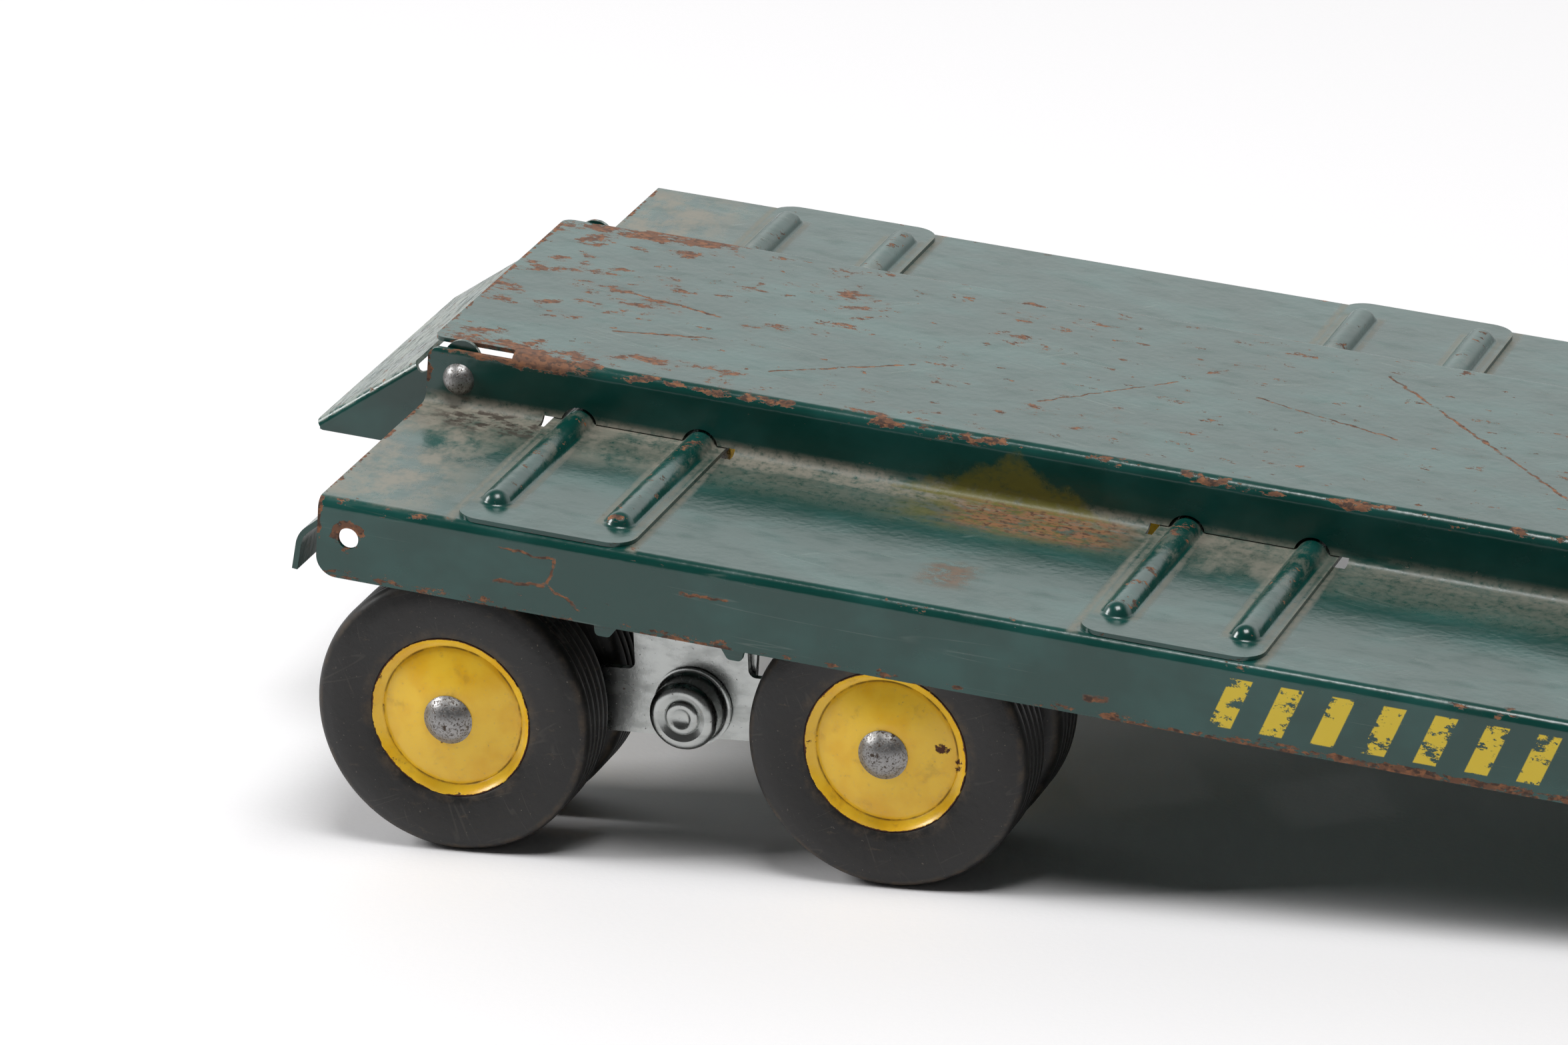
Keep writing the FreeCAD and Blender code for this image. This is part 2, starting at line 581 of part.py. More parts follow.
def beam(side):
    """A walking beam: a flat bar with round ends and a square upstand over the pivot."""
    half, end, up = BEAM_HALF, WHEELBASE / 2 + BEAM_HALF, UPSTAND_WIDTH / 2
    points = [V(0, 0, -half), V(end, 0, -half), V(end, 0, half), V(up, 0, half),
              V(up, 0, UPSTAND_TOP), V(-up, 0, UPSTAND_TOP), V(-up, 0, half), V(-end, 0, half),
              V(-end, 0, -half)]
    round_end = half - 0.1
    radii = [round_end, round_end, UPSTAND_ROOT, 4, 4, UPSTAND_ROOT, round_end, round_end]
    plate = prism(points, radii, V(0, -BEAM_SHEET, 0))
    plate.translate(V(0, BEAM_Y, TYRE_R))
    holes = [y_rod(PIVOT_R + RUN_FIT, 0, TYRE_R, 0, BEAM_Y + 1)]
    holes += [y_rod(AXLE_R + RUN_FIT, x, TYRE_R, 0, BEAM_Y + 1) for x in (-WHEELBASE / 2, WHEELBASE / 2)]
    return for_side(plate.cut(holes), side)


def pivot_axle():
    """The bar across the trailer that both beams rock on."""
    end = BEAM_Y + CAP_LENGTH - 2.5
    return y_rod(PIVOT_R, 0, TYRE_R, -end, end)


def axle_cap(side):
    """A pressed cup over the pivot axle's end: flared rim, ring and dimple on its face."""
    top, wall = CAP_LENGTH + SIDE_AIR, CAP_SHEET
    foot = SIDE_AIR
    outside = run((foot, CAP_R - wall), (foot, CAP_RIM_R), (foot + 0.9, CAP_RIM_R))
    outside += arc((foot + 0.9, CAP_RIM_R), (foot + 1.2, CAP_R + 0.4), (foot + 2.2, CAP_R))
    outside += run((foot + 2.2, CAP_R), (top - 2.2, CAP_R))
    outside += arc((top - 2.2, CAP_R), (top - 0.65, CAP_R - 0.7), (top, CAP_R - 2.6))
    outside += arc((top, CAP_R - 2.6), (top - 0.45, 5.0), (top - 0.75, 4.4))
    outside += arc((top - 0.75, 4.4), (top - 0.1, 3.6), (top - 0.2, 2.4))
    outside += arc((top - 0.2, 2.4), (top - 0.6, 1.6), (top - 0.8, 0.8))
    inside = run((top - 0.8, 0.8), (top - 0.8, 0), (top - 1.9, 0), (top - 1.9, CAP_R - 2.6))
    inside += arc((top - 1.9, CAP_R - 2.6), (top - 2.2, CAP_R - 1.3), (top - 3.2, CAP_R - wall))
    inside += run((top - 3.2, CAP_R - wall), (foot, CAP_R - wall))
    face = Part.Face(Part.Wire([edge.toShape() for edge in outside + inside]))
    solid = face.revolve(V(0, 0, 0), X_AXIS, 360)
    solid.rotate(V(0, 0, 0), Z_AXIS, 90)
    solid.translate(V(0, BEAM_Y, TYRE_R))
    return for_side(solid, side)


def cap_washer(side):
    """The star washer inside a cap, which grips the pivot axle."""
    low = BEAM_Y + SIDE_AIR
    ring = y_rod(CAP_R - CAP_SHEET, 0, TYRE_R, low, low + 1.2)
    return for_side(ring.cut(y_rod(PIVOT_R + PRESS_FIT, 0, TYRE_R, 0, BEAM_Y + 5)), side)


def hanger(side):
    """The bracket that carries the pivot axle, drawn with the deck: a plate with a turned-in foot."""
    top, low = -SHEET, -PIVOT_DROP - BEAM_HALF
    points = [V(0, HANGER_Y, low), V(0, HANGER_Y, top), V(0, HANGER_Y - HANGER_FOOT, top)]
    width = UPSTAND_WIDTH
    plate = bent_sheet(points, [HANGER_BEND], HANGER_SHEET, -X_AXIS, V(width, 0, 0))
    plate.translate(V(-width / 2, 0, 0))
    for inward, x in ((X_AXIS, -width / 2), (-X_AXIS, width / 2)):
        corner = V(x, HANGER_Y - HANGER_FOOT - 1, low)
        plate = plate.cut(corner_cut(corner, inward, Z_AXIS, BEAM_HALF, V(0, HANGER_FOOT + 2, 0)))
    plate = plate.cut(y_rod(PIVOT_R + PRESS_FIT, 0, -PIVOT_DROP, 0, HANGER_Y + 1))
    return for_side(plate, side)


# ---- nose ----
def leg_foot():
    """Centre of a leg's round foot, placed so that the foot just meets the ground."""
    pitch = math.radians(DECK_PITCH)
    foot_r = LEG_WIDTH / 2
    rise = (foot_r - TYRE_R + LEG_X * math.sin(pitch)) / math.cos(pitch)
    return V(LEG_X, 0, rise - PIVOT_DROP)


def leg_rivet_places():
    """(x, z) of the rivets that hold a leg to its flange."""
    return [(LEG_X - LEG_WIDTH / 4, -9.5), (LEG_X + LEG_WIDTH / 4, -9.5)]


def landing_leg(side):
    """A tongue inside the flange that the trailer stands on when it is unhitched."""
    foot, half, top = leg_foot(), LEG_WIDTH / 2, -EDGE_BEND - 1
    y = HALF_WIDTH - SHEET
    points = [V(LEG_X, y, top), V(LEG_X + half, y, top), V(LEG_X + half, y, foot.z),
              V(LEG_X - half, y, foot.z), V(LEG_X - half, y, top)]
    tongue = Part.Face(Part.makePolygon(points + points[:1])).extrude(V(0, -LEG_SHEET, 0))
    tongue = tongue.fuse(y_rod(half, LEG_X, foot.z, y - LEG_SHEET, y)).removeSplitter()
    holes = [y_rod(RIVET_R + PRESS_FIT, x, z, 0, HALF_WIDTH) for x, z in leg_rivet_places()]
    return for_side(tongue.cut(holes), side)


def leg_rivets(side):
    """Two round-head rivets through flange and leg."""
    inner = HALF_WIDTH - SHEET - LEG_SHEET
    rivets = []
    for x, z in leg_rivet_places():
        shank = y_rod(RIVET_R, x, z, inner, HALF_WIDTH)
        head = dome(RIVET_HEAD_R, RIVET_HEAD_H, V(x, HALF_WIDTH, z), Y_AXIS)
        tail = dome(RIVET_HEAD_R, RIVET_HEAD_H, V(x, inner, z), -Y_AXIS)
        rivets.append(for_side(shank.fuse([head, tail]), side))
    return Part.makeCompound(rivets)


def neck_rivet_places():
    """Where the gooseneck's strap is riveted to the deck's raised centre."""
    back = DECK_FRONT - NECK_OVERLAP
    places = [(x, y) for x in (back + 14, back + 56) for y in (-30, 30)]
    return [V(x, y, CENTRE_RISE - SHEET - 2) for x, y in places]


def neck_line():
    """The gooseneck strap's top line, from the deck to the nose."""
    low, back = CENTRE_RISE + NECK_SHEET, DECK_FRONT - NECK_OVERLAP
    foot = DECK_FRONT + 4
    return [V(back, 0, low), V(foot, 0, low), V(foot + NECK_RUN, 0, NECK_TOP), V(NOSE_X, 0, NECK_TOP)]


def gooseneck():
    """The arched neck: a strap riveted to the deck, with two cheeks and a round nose."""
    half = NECK_WIDTH / 2
    line = [p - V(0, half, 0) for p in neck_line()]
    strap = bent_sheet(line, [NECK_BEND] * 2, NECK_SHEET, -Y_AXIS, V(0, NECK_WIDTH, 0))
    foot, head = neck_line()[1], neck_line()[2]
    down = V(0, 0, -NECK_CHEEK)
    under = V(0, 0, -NECK_SHEET / 2)
    base = V(DECK_FRONT + 1, 0, CENTRE_RISE + NECK_SHEET / 2)
    end = V(NOSE_X - half, 0, NECK_TOP)
    outline = [head + under, end + under, end + down,
               head + down + V(12, 0, 0), foot + down + V(6, 0, -6), base + V(0, 0, -26), base,
               foot + under]
    cheek = prism(outline, [2, 8, 14, 6, 3, 1, 6], V(0, NECK_SHEET, 0))
    cheeks = []
    for y in (-half, half - NECK_SHEET):
        plate = cheek.copy()
        plate.translate(V(0, y, 0))
        cheeks.append(plate)
    neck = strap.fuse(cheeks)
    nose = Part.makeCylinder(half, 400, V(NOSE_X - half, 0, -200))
    nose = nose.fuse(box(V(0, -half, -200), V(NOSE_X - half, half, 200)))
    neck = neck.common(nose).removeSplitter()
    holes = [Part.makeCylinder(RIVET_R + PRESS_FIT, 12, p) for p in neck_rivet_places()]
    holes.append(Part.makeCylinder(KING_PIN_SPIGOT_R + PRESS_FIT, 40,
                                   V(KING_PIN_X, 0, NECK_TOP - 20)))
    return neck.cut(holes)


def neck_rivets():
    """Round-head rivets through the strap and the deck."""
    low, high = CENTRE_RISE - SHEET, CENTRE_RISE + NECK_SHEET
    rivets = []
    for place in neck_rivet_places():
        shank = Part.makeCylinder(RIVET_R, high - low, V(place.x, place.y, low))
        head = dome(RIVET_HEAD_R, RIVET_HEAD_H, V(place.x, place.y, high), Z_AXIS)
        tail = dome(RIVET_HEAD_R, RIVET_HEAD_H, V(place.x, place.y, low), -Z_AXIS)
        rivets.append(shank.fuse([head, tail]))
    return Part.makeCompound(rivets)


def coupler_plate():
    """The round rubbing plate under the nose."""
    low = NECK_TOP - NECK_SHEET - COUPLER_SHEET
    plate = Part.makeCylinder(COUPLER_R, COUPLER_SHEET, V(KING_PIN_X, 0, low))
    bore_r = KING_PIN_SPIGOT_R + PRESS_FIT
    return plate.cut(Part.makeCylinder(bore_r, 40, V(KING_PIN_X, 0, low - 1)))


def king_pin():
    """The turned pin that drops into a tractor's hitch, with its head on top of the nose."""
    plate_low = NECK_TOP - NECK_SHEET - COUPLER_SHEET
    low, shoulder = plate_low - KING_PIN_LENGTH, plate_low - KING_PIN_RELIEF
    shank = Part.makeCylinder(KING_PIN_R, shoulder - low, V(KING_PIN_X, 0, low))
    spigot = Part.makeCylinder(KING_PIN_SPIGOT_R, NECK_TOP - shoulder, V(KING_PIN_X, 0, shoulder))
    head = dome(KING_PIN_HEAD_R, KING_PIN_HEAD_H, V(KING_PIN_X, 0, NECK_TOP), Z_AXIS)
    pin = shank.fuse([spigot, head])
    tip = [edge for edge in pin.Edges if abs(edge.BoundBox.ZMax - low) < 0.01]
    return pin.makeChamfer(KING_PIN_TIP, tip)


# ---- assembly ----
def deck_parts():
    """Every piece that pitches with the deck, by node name."""
    parts = {"deck_sheet": deck_sheet(), "ramp": ramp(), "front_apron": front_apron()}
    for i, x in enumerate(plate_centres()):
        parts["cross_plate_%d" % (i + 1)] = cross_plate(x)
    for name, side in SIDES:
        parts["rear_rail_" + name] = for_side(rear_rail(), side)
        parts["flange_strap_" + name] = for_side(flange_strap(), side)
        parts["ramp_pin_" + name] = for_side(ramp_pin(), side)
        parts["hanger_" + name] = hanger(side)
        parts["landing_leg_" + name] = landing_leg(side)
        parts["leg_rivets_" + name] = leg_rivets(side)
    parts.update(gooseneck=gooseneck(), neck_rivets=neck_rivets(),
                 coupler_plate=coupler_plate(), king_pin=king_pin())
    return {name: pitched(shape) for name, shape in parts.items()}


def bogie_parts():
    """The pivot axle and both bogies, by node name."""
    parts = {"pivot_axle": pivot_axle()}
    for name, side in SIDES:
        parts["beam_" + name] = beam(side)
        parts["axle_cap_" + name] = axle_cap(side)
        parts["cap_washer_" + name] = cap_washer(side)
        for end, way in ENDS:
            x = way * WHEELBASE / 2
            place = "%s_%s" % (name, end)
            parts["wheel_axle_" + place] = wheel_axle(x, side)
            parts["spacers_" + place] = spacers(x, side)
            for row, y in (("outer", WHEEL_Y), ("inner", INNER_WHEEL_Y)):
                parts["tyre_%s_%s" % (place, row)] = tyre(x, y, side)
                parts["hub_%s_%s" % (place, row)] = hub(x, y, side)
    return parts


def centre_shift(parts):
    """How far to move everything along X so that the whole object is centred on x = 0."""
    boxes = [shape.optimalBoundingBox(False, False) for shape in parts.values()]
    return -(min(b.XMin for b in boxes) + max(b.XMax for b in boxes)) / 2


def build():
    """Every node's shape where it stands, and the shift along X that centred them."""
    parts = deck_parts()
    parts.update(bogie_parts())
    shift = centre_shift(parts)
    for shape in parts.values():
        shape.translate(V(shift, 0, 0))
    return parts, shift


def main():
    """Write one STEP file for each node."""
    os.makedirs("parts", exist_ok=True)
    parts, shift = build()
    for name, shape in parts.items():
        shape.exportStep("parts/%s.step" % name)
    print("%d nodes, x shift %.3f mm" % (len(parts), shift))


if __name__ == "__main__":
    main()
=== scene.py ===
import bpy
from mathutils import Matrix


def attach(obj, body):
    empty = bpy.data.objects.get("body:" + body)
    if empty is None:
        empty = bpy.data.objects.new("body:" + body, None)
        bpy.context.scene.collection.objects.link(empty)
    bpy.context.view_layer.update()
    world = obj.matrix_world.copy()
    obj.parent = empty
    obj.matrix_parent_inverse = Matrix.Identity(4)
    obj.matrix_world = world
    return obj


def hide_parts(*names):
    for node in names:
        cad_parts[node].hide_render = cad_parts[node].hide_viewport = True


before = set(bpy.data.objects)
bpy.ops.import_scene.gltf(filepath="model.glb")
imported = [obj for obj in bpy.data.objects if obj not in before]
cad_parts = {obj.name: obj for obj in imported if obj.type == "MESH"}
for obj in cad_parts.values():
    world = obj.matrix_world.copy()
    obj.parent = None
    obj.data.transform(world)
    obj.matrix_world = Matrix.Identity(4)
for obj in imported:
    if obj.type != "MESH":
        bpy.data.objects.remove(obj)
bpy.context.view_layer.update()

import logging
import math
from collections.abc import Mapping, Sequence
from dataclasses import dataclass
from enum import Enum
from typing import Any

import bpy
from mathutils import Matrix, Vector

LOG = logging.getLogger("trailer")
MM = 0.001

MATH, RANGE, MIX = "ShaderNodeMath", "ShaderNodeMapRange", "ShaderNodeMix"
NOISE, PLACE, SPLIT = "ShaderNodeTexNoise", "ShaderNodeMapping", "ShaderNodeSeparateXYZ"
JOIN = "ShaderNodeCombineXYZ"
Signal = bpy.types.NodeSocket | bpy.types.Node | float
Outline = Sequence[tuple[float, float]]

# sizes shared by the sub-assemblies, in millimetres and degrees
DECK_PITCH = 6.2
DECK_SHIFT = -269.088       # bogie pivots along the trailer
PIVOT_HEIGHT = 35.0
PIVOT_DROP = 46.2
CREST_Y, CREST_Z = 51.3, 15.6
HALF_WIDTH = 124.0
FLANGE_DEPTH = 19.9
DECK_REAR = -90.0
PLATE_FIRST, PLATE_STEP = -34.0, 156.0
PLATE_HALF, RIB_OFF = 22.5, 15.75
HALF_WHEELBASE = 55.25


class Side(Enum):
    """The two long sides of the trailer."""

    NEAR = -1
    FAR = 1

    @property
    def label(self) -> str:
        """The side's name in the frame's nodes."""
        return self.name.lower()


class End(Enum):
    """The two axles of a bogie."""

    REAR = -1
    FRONT = 1

    @property
    def label(self) -> str:
        """The axle's name in the frame's nodes."""
        return self.name.lower()


# ---- node helpers ----
def linear(code: str) -> tuple[float, float, float, float]:
    """Turns an sRGB hex code into a linear colour.

    Args:
        code: six hex digits.

    Returns:
        Red, green, blue and alpha.
    """
    parts = [int(code[i:i + 2], 16) / 255 for i in (0, 2, 4)]
    r, g, b = (c / 12.92 if c <= 0.04045 else ((c + 0.055) / 1.055) ** 2.4 for c in parts)
    return r, g, b, 1.0


def add(tree: bpy.types.NodeTree, kind: str, links: Mapping[int | str, Any] | None = None,
        **settings: Any) -> bpy.types.Node:
    """Adds a node with its settings and what goes into it.

    Args:
        tree: the tree that gets the node.
        kind: the node's type name.
        links: input name or index to a socket, a node (its first output) or a plain value.
        **settings: properties of the node.

    Returns:
        The new node.
    """
    node = tree.nodes.new(kind)
    for name, value in settings.items():
        setattr(node, name, value)
    for key, value in (links or {}).items():
        if isinstance(value, bpy.types.Node):
            value = value.outputs[0]
        if isinstance(value, bpy.types.NodeSocket):
            tree.links.new(value, node.inputs[key])
        else:
            node.inputs[key].default_value = value
    return node


def meeting(tree: bpy.types.NodeTree, *masks: Signal) -> Signal:
    """The product of the masks: full only where every one of them is."""
    result = masks[0]
    for mask in masks[1:]:
        result = add(tree, MATH, {0: result, 1: mask}, operation="MULTIPLY")
    return result


def either(tree: bpy.types.NodeTree, *masks: Signal) -> Signal:
    """The strongest of the masks."""
    result = masks[0]
    for mask in masks[1:]:
        result = add(tree, MATH, {0: result, 1: mask}, operation="MAXIMUM")
    return result


def close_to(tree: bpy.types.NodeTree, signal: Signal, centre: float, full: float,
             gone: float) -> Signal:
    """A mask that is full within one distance of a value and gone past another.

    Args:
        tree: the material's tree.
        signal: what is measured, in millimetres.
        centre: the value that the mask is centred on.
        full: distance up to which the mask is 1.
        gone: distance past which it is 0.

    Returns:
        The mask.
    """
    apart = add(tree, MATH, {0: signal, 1: centre}, operation="SUBTRACT")
    apart = add(tree, MATH, {0: apart}, operation="ABSOLUTE")
    return add(tree, RANGE, {"Value": apart, "From Min": gone, "From Max": full},
               interpolation_type="SMOOTHSTEP")


def grit(tree: bpy.types.NodeTree, place: Signal, size: tuple[float, float, float],
         low: float, high: float, seed: float = 0.0, detail: float = 3.0,
         rough: float = 0.55) -> Signal:
    """Patches of noise, cut off between two levels.

    Args:
        tree: the material's tree.
        place: coordinates in millimetres.
        size: length of a patch along each coordinate, in millimetres.
        low: noise level at which the mask starts.
        high: noise level at which it is full.
        seed: moves the pattern.
        detail: octaves of the noise.
        rough: how strong the finer octaves are.

    Returns:
        The mask.
    """
    scaled = add(tree, PLACE, {"Vector": place, "Location": (seed * 7.3, seed * 3.1, seed),
                               "Scale": tuple(1 / s for s in size)})
    noise = add(tree, NOISE, {"Vector": scaled, "Scale": 1.0, "Detail": detail,
                              "Roughness": rough})
    return add(tree, RANGE, {"Value": noise, "From Min": low, "From Max": high},
               interpolation_type="SMOOTHSTEP")


def hairline(tree: bpy.types.NodeTree, place: Signal, size: tuple[float, float, float],
             seed: float) -> Signal:
    """Thin wandering lines: the places where a stretched noise crosses its middle level.

    Args:
        tree: the material's tree.
        place: coordinates in millimetres.
        size: length of a line and spacing of the lines, in millimetres.
        seed: moves the lines.

    Returns:
        The mask.
    """
    scaled = add(tree, PLACE, {"Vector": place, "Location": (seed * 5.1, seed * 2.9, seed),
                               "Scale": tuple(1 / s for s in size)})
    noise = add(tree, NOISE, {"Vector": scaled, "Scale": 0.35, "Detail": 1.0})
    return close_to(tree, noise, 0.5, 0.004, 0.012)


def scratch(tree: bpy.types.NodeTree, place: Signal, start: tuple[float, float],
            end: tuple[float, float], width: float) -> Signal:
    """One straight scratch with rough sides.

    Args:
        tree: the material's tree.
        place: coordinates in millimetres; the first two are used.
        start: where it starts.
        end: where it ends.
        width: its width in millimetres.

    Returns:
        The mask.
    """
    run, rise = end[0] - start[0], end[1] - start[1]
    middle = ((start[0] + end[0]) / 2, (start[1] + end[1]) / 2, 0)
    moved = add(tree, "ShaderNodeVectorMath", {0: place, 1: middle}, operation="SUBTRACT")
    turned = add(tree, SPLIT, {0: add(tree, PLACE, {
        "Vector": moved, "Rotation": (0, 0, -math.atan2(rise, run))})})
    wander = add(tree, NOISE, {"Vector": place, "Scale": 0.25, "Detail": 4.0})
    beside = add(tree, MATH, {0: wander, 1: 3.0, 2: turned.outputs[1]}, operation="MULTIPLY_ADD")
    return meeting(tree, close_to(tree, beside, 1.5, width * 0.4, width),
                   close_to(tree, turned.outputs[0], 0.0, math.hypot(run, rise) / 2 - 1,
                            math.hypot(run, rise) / 2))


def from_edge(tree: bpy.types.NodeTree, across: Signal) -> Signal:
    """Distance in from the deck's side, in millimetres."""
    return add(tree, MATH, {0: HALF_WIDTH, 1: across}, operation="SUBTRACT")


def turned_radius(tree: bpy.types.NodeTree) -> Signal:
    """Distance from a turned piece's axle, in millimetres, as its map keeps it."""
    mapped = add(tree, SPLIT, {0: add(tree, "ShaderNodeUVMap", uv_map="turned")})
    return add(tree, MATH, {0: mapped.outputs[0], 1: 100.0}, operation="MULTIPLY")


class Coats:
    """A stack of coats on one material: each lays a colour, a gloss and a thickness over
    what is under it."""

    def __init__(self, name: str, colour: str, roughness: float, **uniform: Any) -> None:
        """Starts the material.

        Args:
            name: name of the material.
            colour: sRGB hex of the ground coat.
            roughness: its roughness.
            **uniform: shader inputs that are the same all over, with _ for a space.
        """
        self.material = bpy.data.materials.new(name)
        self.material.use_nodes = True
        self.tree = self.material.node_tree
        self.shader = self.tree.nodes["Principled BSDF"]
        for key, value in uniform.items():
            self.shader.inputs[key.replace("_", " ")].default_value = value
        self.colour: Any = linear(colour)
        self.roughness: Signal = roughness
        self.height: Signal = 0.0

    def millimetres(self) -> bpy.types.Node:
        """The row frame's coordinates, in millimetres."""
        own = add(self.tree, "ShaderNodeTexCoord").outputs["Object"]
        return add(self.tree, PLACE, {"Vector": own, "Scale": (1 / MM,) * 3})

    def lay(self, mask: Signal, colour: str | None = None, roughness: float | None = None,
            height: float = 0.0) -> None:
        """Lays one coat where the mask is full.

        Args:
            mask: where the coat is.
            colour: sRGB hex, or None to keep what is there.
            roughness: the coat's roughness, or None to keep what is there.
            height: how far it stands proud, in millimetres.
        """
        tree = self.tree
        if colour is not None:
            self.colour = add(tree, MIX, {0: mask, 6: self.colour, 7: linear(colour)},
                              data_type="RGBA").outputs[2]
        if roughness is not None:
            self.roughness = add(tree, MIX, {0: mask, 2: self.roughness, 3: roughness},
                                 data_type="FLOAT")
        if height:
            self.height = add(tree, MATH, {0: mask, 1: height, 2: self.height},
                              operation="MULTIPLY_ADD")

    def finish(self) -> bpy.types.Material:
        """Joins the coats to the shader.

        Returns:
            The finished material.
        """
        raised = add(self.tree, "ShaderNodeBump",
                     {"Height": self.height, "Distance": MM, "Strength": 1.0})
        for key, value in (("Base Color", self.colour), ("Roughness", self.roughness),
                           ("Normal", raised)):
            if isinstance(value, bpy.types.Node):
                value = value.outputs[0]
            if isinstance(value, bpy.types.NodeSocket):
                self.tree.links.new(value, self.shader.inputs[key])
            else:
                self.shader.inputs[key].default_value = value
        return self.material


# ---- finishes ----
@dataclass(frozen=True)
class GreenEnamel:
    """Stoved alkyd enamel on pressed steel, rubbed thin by play: a dark glossy green that
    mirrors its surroundings softly, chipped to red-brown rust along every fold."""

    name: str = "green_stoved_enamel"
    paint: str = "083D36"
    faded: str = "194C46"
    dust: str = "8A8477"
    rust: str = "6A4630"
    dark_rust: str = "402B1F"
    fresh_rust: str = "8B5B3A"
    bare: str = "8F9890"
    olive: str = "635F1C"
    mark: str = "DDBF1A"

    def build(self) -> bpy.types.Material:
        """Builds the material.

        Returns:
            The material.
        """
        coats = Coats(self.name, self.paint, 0.2, IOR=1.56)
        deck = self.deck_place(coats)
        faces = Faces(coats.tree, deck)
        self._grain(coats, deck)
        self._scratches(coats, deck, faces)
        self._dust(coats, deck, faces)
        self._rust(coats, deck, faces)
        self._scars(coats, deck, faces)
        self._stain(coats, deck, faces)
        self._dashes(coats, deck, faces)
        return coats.finish()

    @staticmethod
    def deck_place(coats: Coats) -> bpy.types.Node:
        """Coordinates along the pitched deck, from the bogie pivots, in millimetres."""
        pitch = math.radians(DECK_PITCH)
        cos, sin = math.cos(pitch), math.sin(pitch)
        return add(coats.tree, PLACE, {
            "Vector": coats.millimetres(), "Rotation": (0, -pitch, 0),
            "Location": (-DECK_SHIFT * cos + PIVOT_HEIGHT * sin, 0,
                         -DECK_SHIFT * sin - PIVOT_HEIGHT * cos - PIVOT_DROP)})

    def _grain(self, coats: Coats, deck: Signal) -> None:
        """Orange peel, faded clouds and dull rubbed patches of the paint itself."""
        tree = coats.tree
        coats.lay(grit(tree, deck, (30, 16, 22), 0.42, 0.7, 1.0), self.faded)
        coats.lay(grit(tree, deck, (12, 5, 8), 0.45, 0.75, 2.0, 4.0), roughness=0.3)
        coats.lay(grit(tree, deck, (2.2, 2.2, 2.2), 0.3, 0.7, 3.0, 1.0), height=0.016)

    def _scratches(self, coats: Coats, deck: Signal, faces: "Faces") -> None:
        """Hairline scuffs of every direction on the top, and along the flanges."""
        tree = coats.tree
        for seed, turn, size, mask in ((1.0, 0.25, (60, 1.6, 60), faces.flat),
                                       (2.0, -0.7, (44, 1.4, 60), faces.flat),
                                       (4.0, 0.0, (60, 60, 1.3), faces.side)):
            turned = add(tree, PLACE, {"Vector": deck, "Rotation": (0, 0, turn)})
            lines = meeting(tree, hairline(tree, turned, size, seed), mask,
                            grit(tree, deck, (20, 12, 12), 0.52, 0.68, seed + 5))
            coats.lay(meeting(tree, lines, 0.16), self.bare, 0.4)

    def _dust(self, coats: Coats, deck: Signal, faces: "Faces") -> None:
        """Grey-beige dirt packed in the folds, round plates and ribs, and over the tail."""
        tree = coats.tree
        fine = grit(tree, deck, (2.4, 2.4, 2.0), 0.2, 0.6, 6.0, 4.0, 0.75)
        broad = grit(tree, deck, (18, 5, 5), 0.26, 0.52, 16.0, 3.0)
        fold = meeting(tree, close_to(tree, faces.across, 53.6, 3.2, 10.0),
                       close_to(tree, faces.z, 0.4, 1.3, 3.4), broad,
                       add(tree, RANGE, {"Value": faces.x, "From Min": 60, "From Max": 140,
                                         "To Min": 1.0, "To Max": 0.62}))
        veil = meeting(tree, close_to(tree, faces.across, 56.0, 6, 24), faces.floor, 0.45)
        along = add(tree, MATH, {0: faces.x, 1: PLATE_FIRST - PLATE_STEP / 2},
                    operation="SUBTRACT")
        along = add(tree, MATH, {0: along, 1: PLATE_STEP}, operation="FLOORED_MODULO")
        along = add(tree, MATH, {0: along, 1: PLATE_STEP / 2}, operation="SUBTRACT")
        along = add(tree, MATH, {0: along}, operation="ABSOLUTE")
        rim = meeting(tree, close_to(tree, along, PLATE_HALF + 0.5, 0.4, 2.0), faces.floor,
                      close_to(tree, faces.across, 85, 37, 39))
        from_rib = add(tree, MATH, {0: along, 1: RIB_OFF}, operation="SUBTRACT")
        from_rib = add(tree, MATH, {0: from_rib}, operation="ABSOLUTE")
        ribs = meeting(tree, close_to(tree, from_rib, 4.6, 0.5, 1.8), faces.floor,
                       close_to(tree, faces.across, 80, 30, 34))
        plate = meeting(tree, close_to(tree, along, 0, 12, 22), faces.floor,
                        close_to(tree, faces.across, 58, 10, 24), 0.7)
        tail = add(tree, RANGE, {"Value": faces.x, "From Min": -56, "From Max": -72})
        tail = meeting(tree, tail, faces.floor, close_to(tree, faces.across, 84, 30, 44))
        mottle = grit(tree, deck, (9, 13, 6), 0.38, 0.62, 5.0, 6.0, 0.72)
        coats.lay(meeting(tree, either(tree, tail, plate), mottle, 0.8), self.dust, 0.55)
        lines = either(tree, fold, veil, meeting(tree, rim, 0.75), meeting(tree, ribs, 0.6))
        coats.lay(meeting(tree, lines, fine, 0.85), self.dust, 0.7, 0.03)
        crowns = meeting(tree, faces.ribs, grit(tree, deck, (5, 9, 3), 0.46, 0.64, 17.0, 5.0, 0.7),
                         close_to(tree, faces.across, 56, 16, 44))
        coats.lay(meeting(tree, crowns, 0.35), self.dust, 0.45)
        blots = meeting(tree, close_to(tree, faces.x, -70, 9, 20), faces.floor,
                        close_to(tree, faces.across, 57, 4, 13),
                        grit(tree, deck, (5, 3, 4), 0.46, 0.58, 7.0, 4.0, 0.7))
        coats.lay(meeting(tree, blots, 0.8), "2E2019", 0.5)

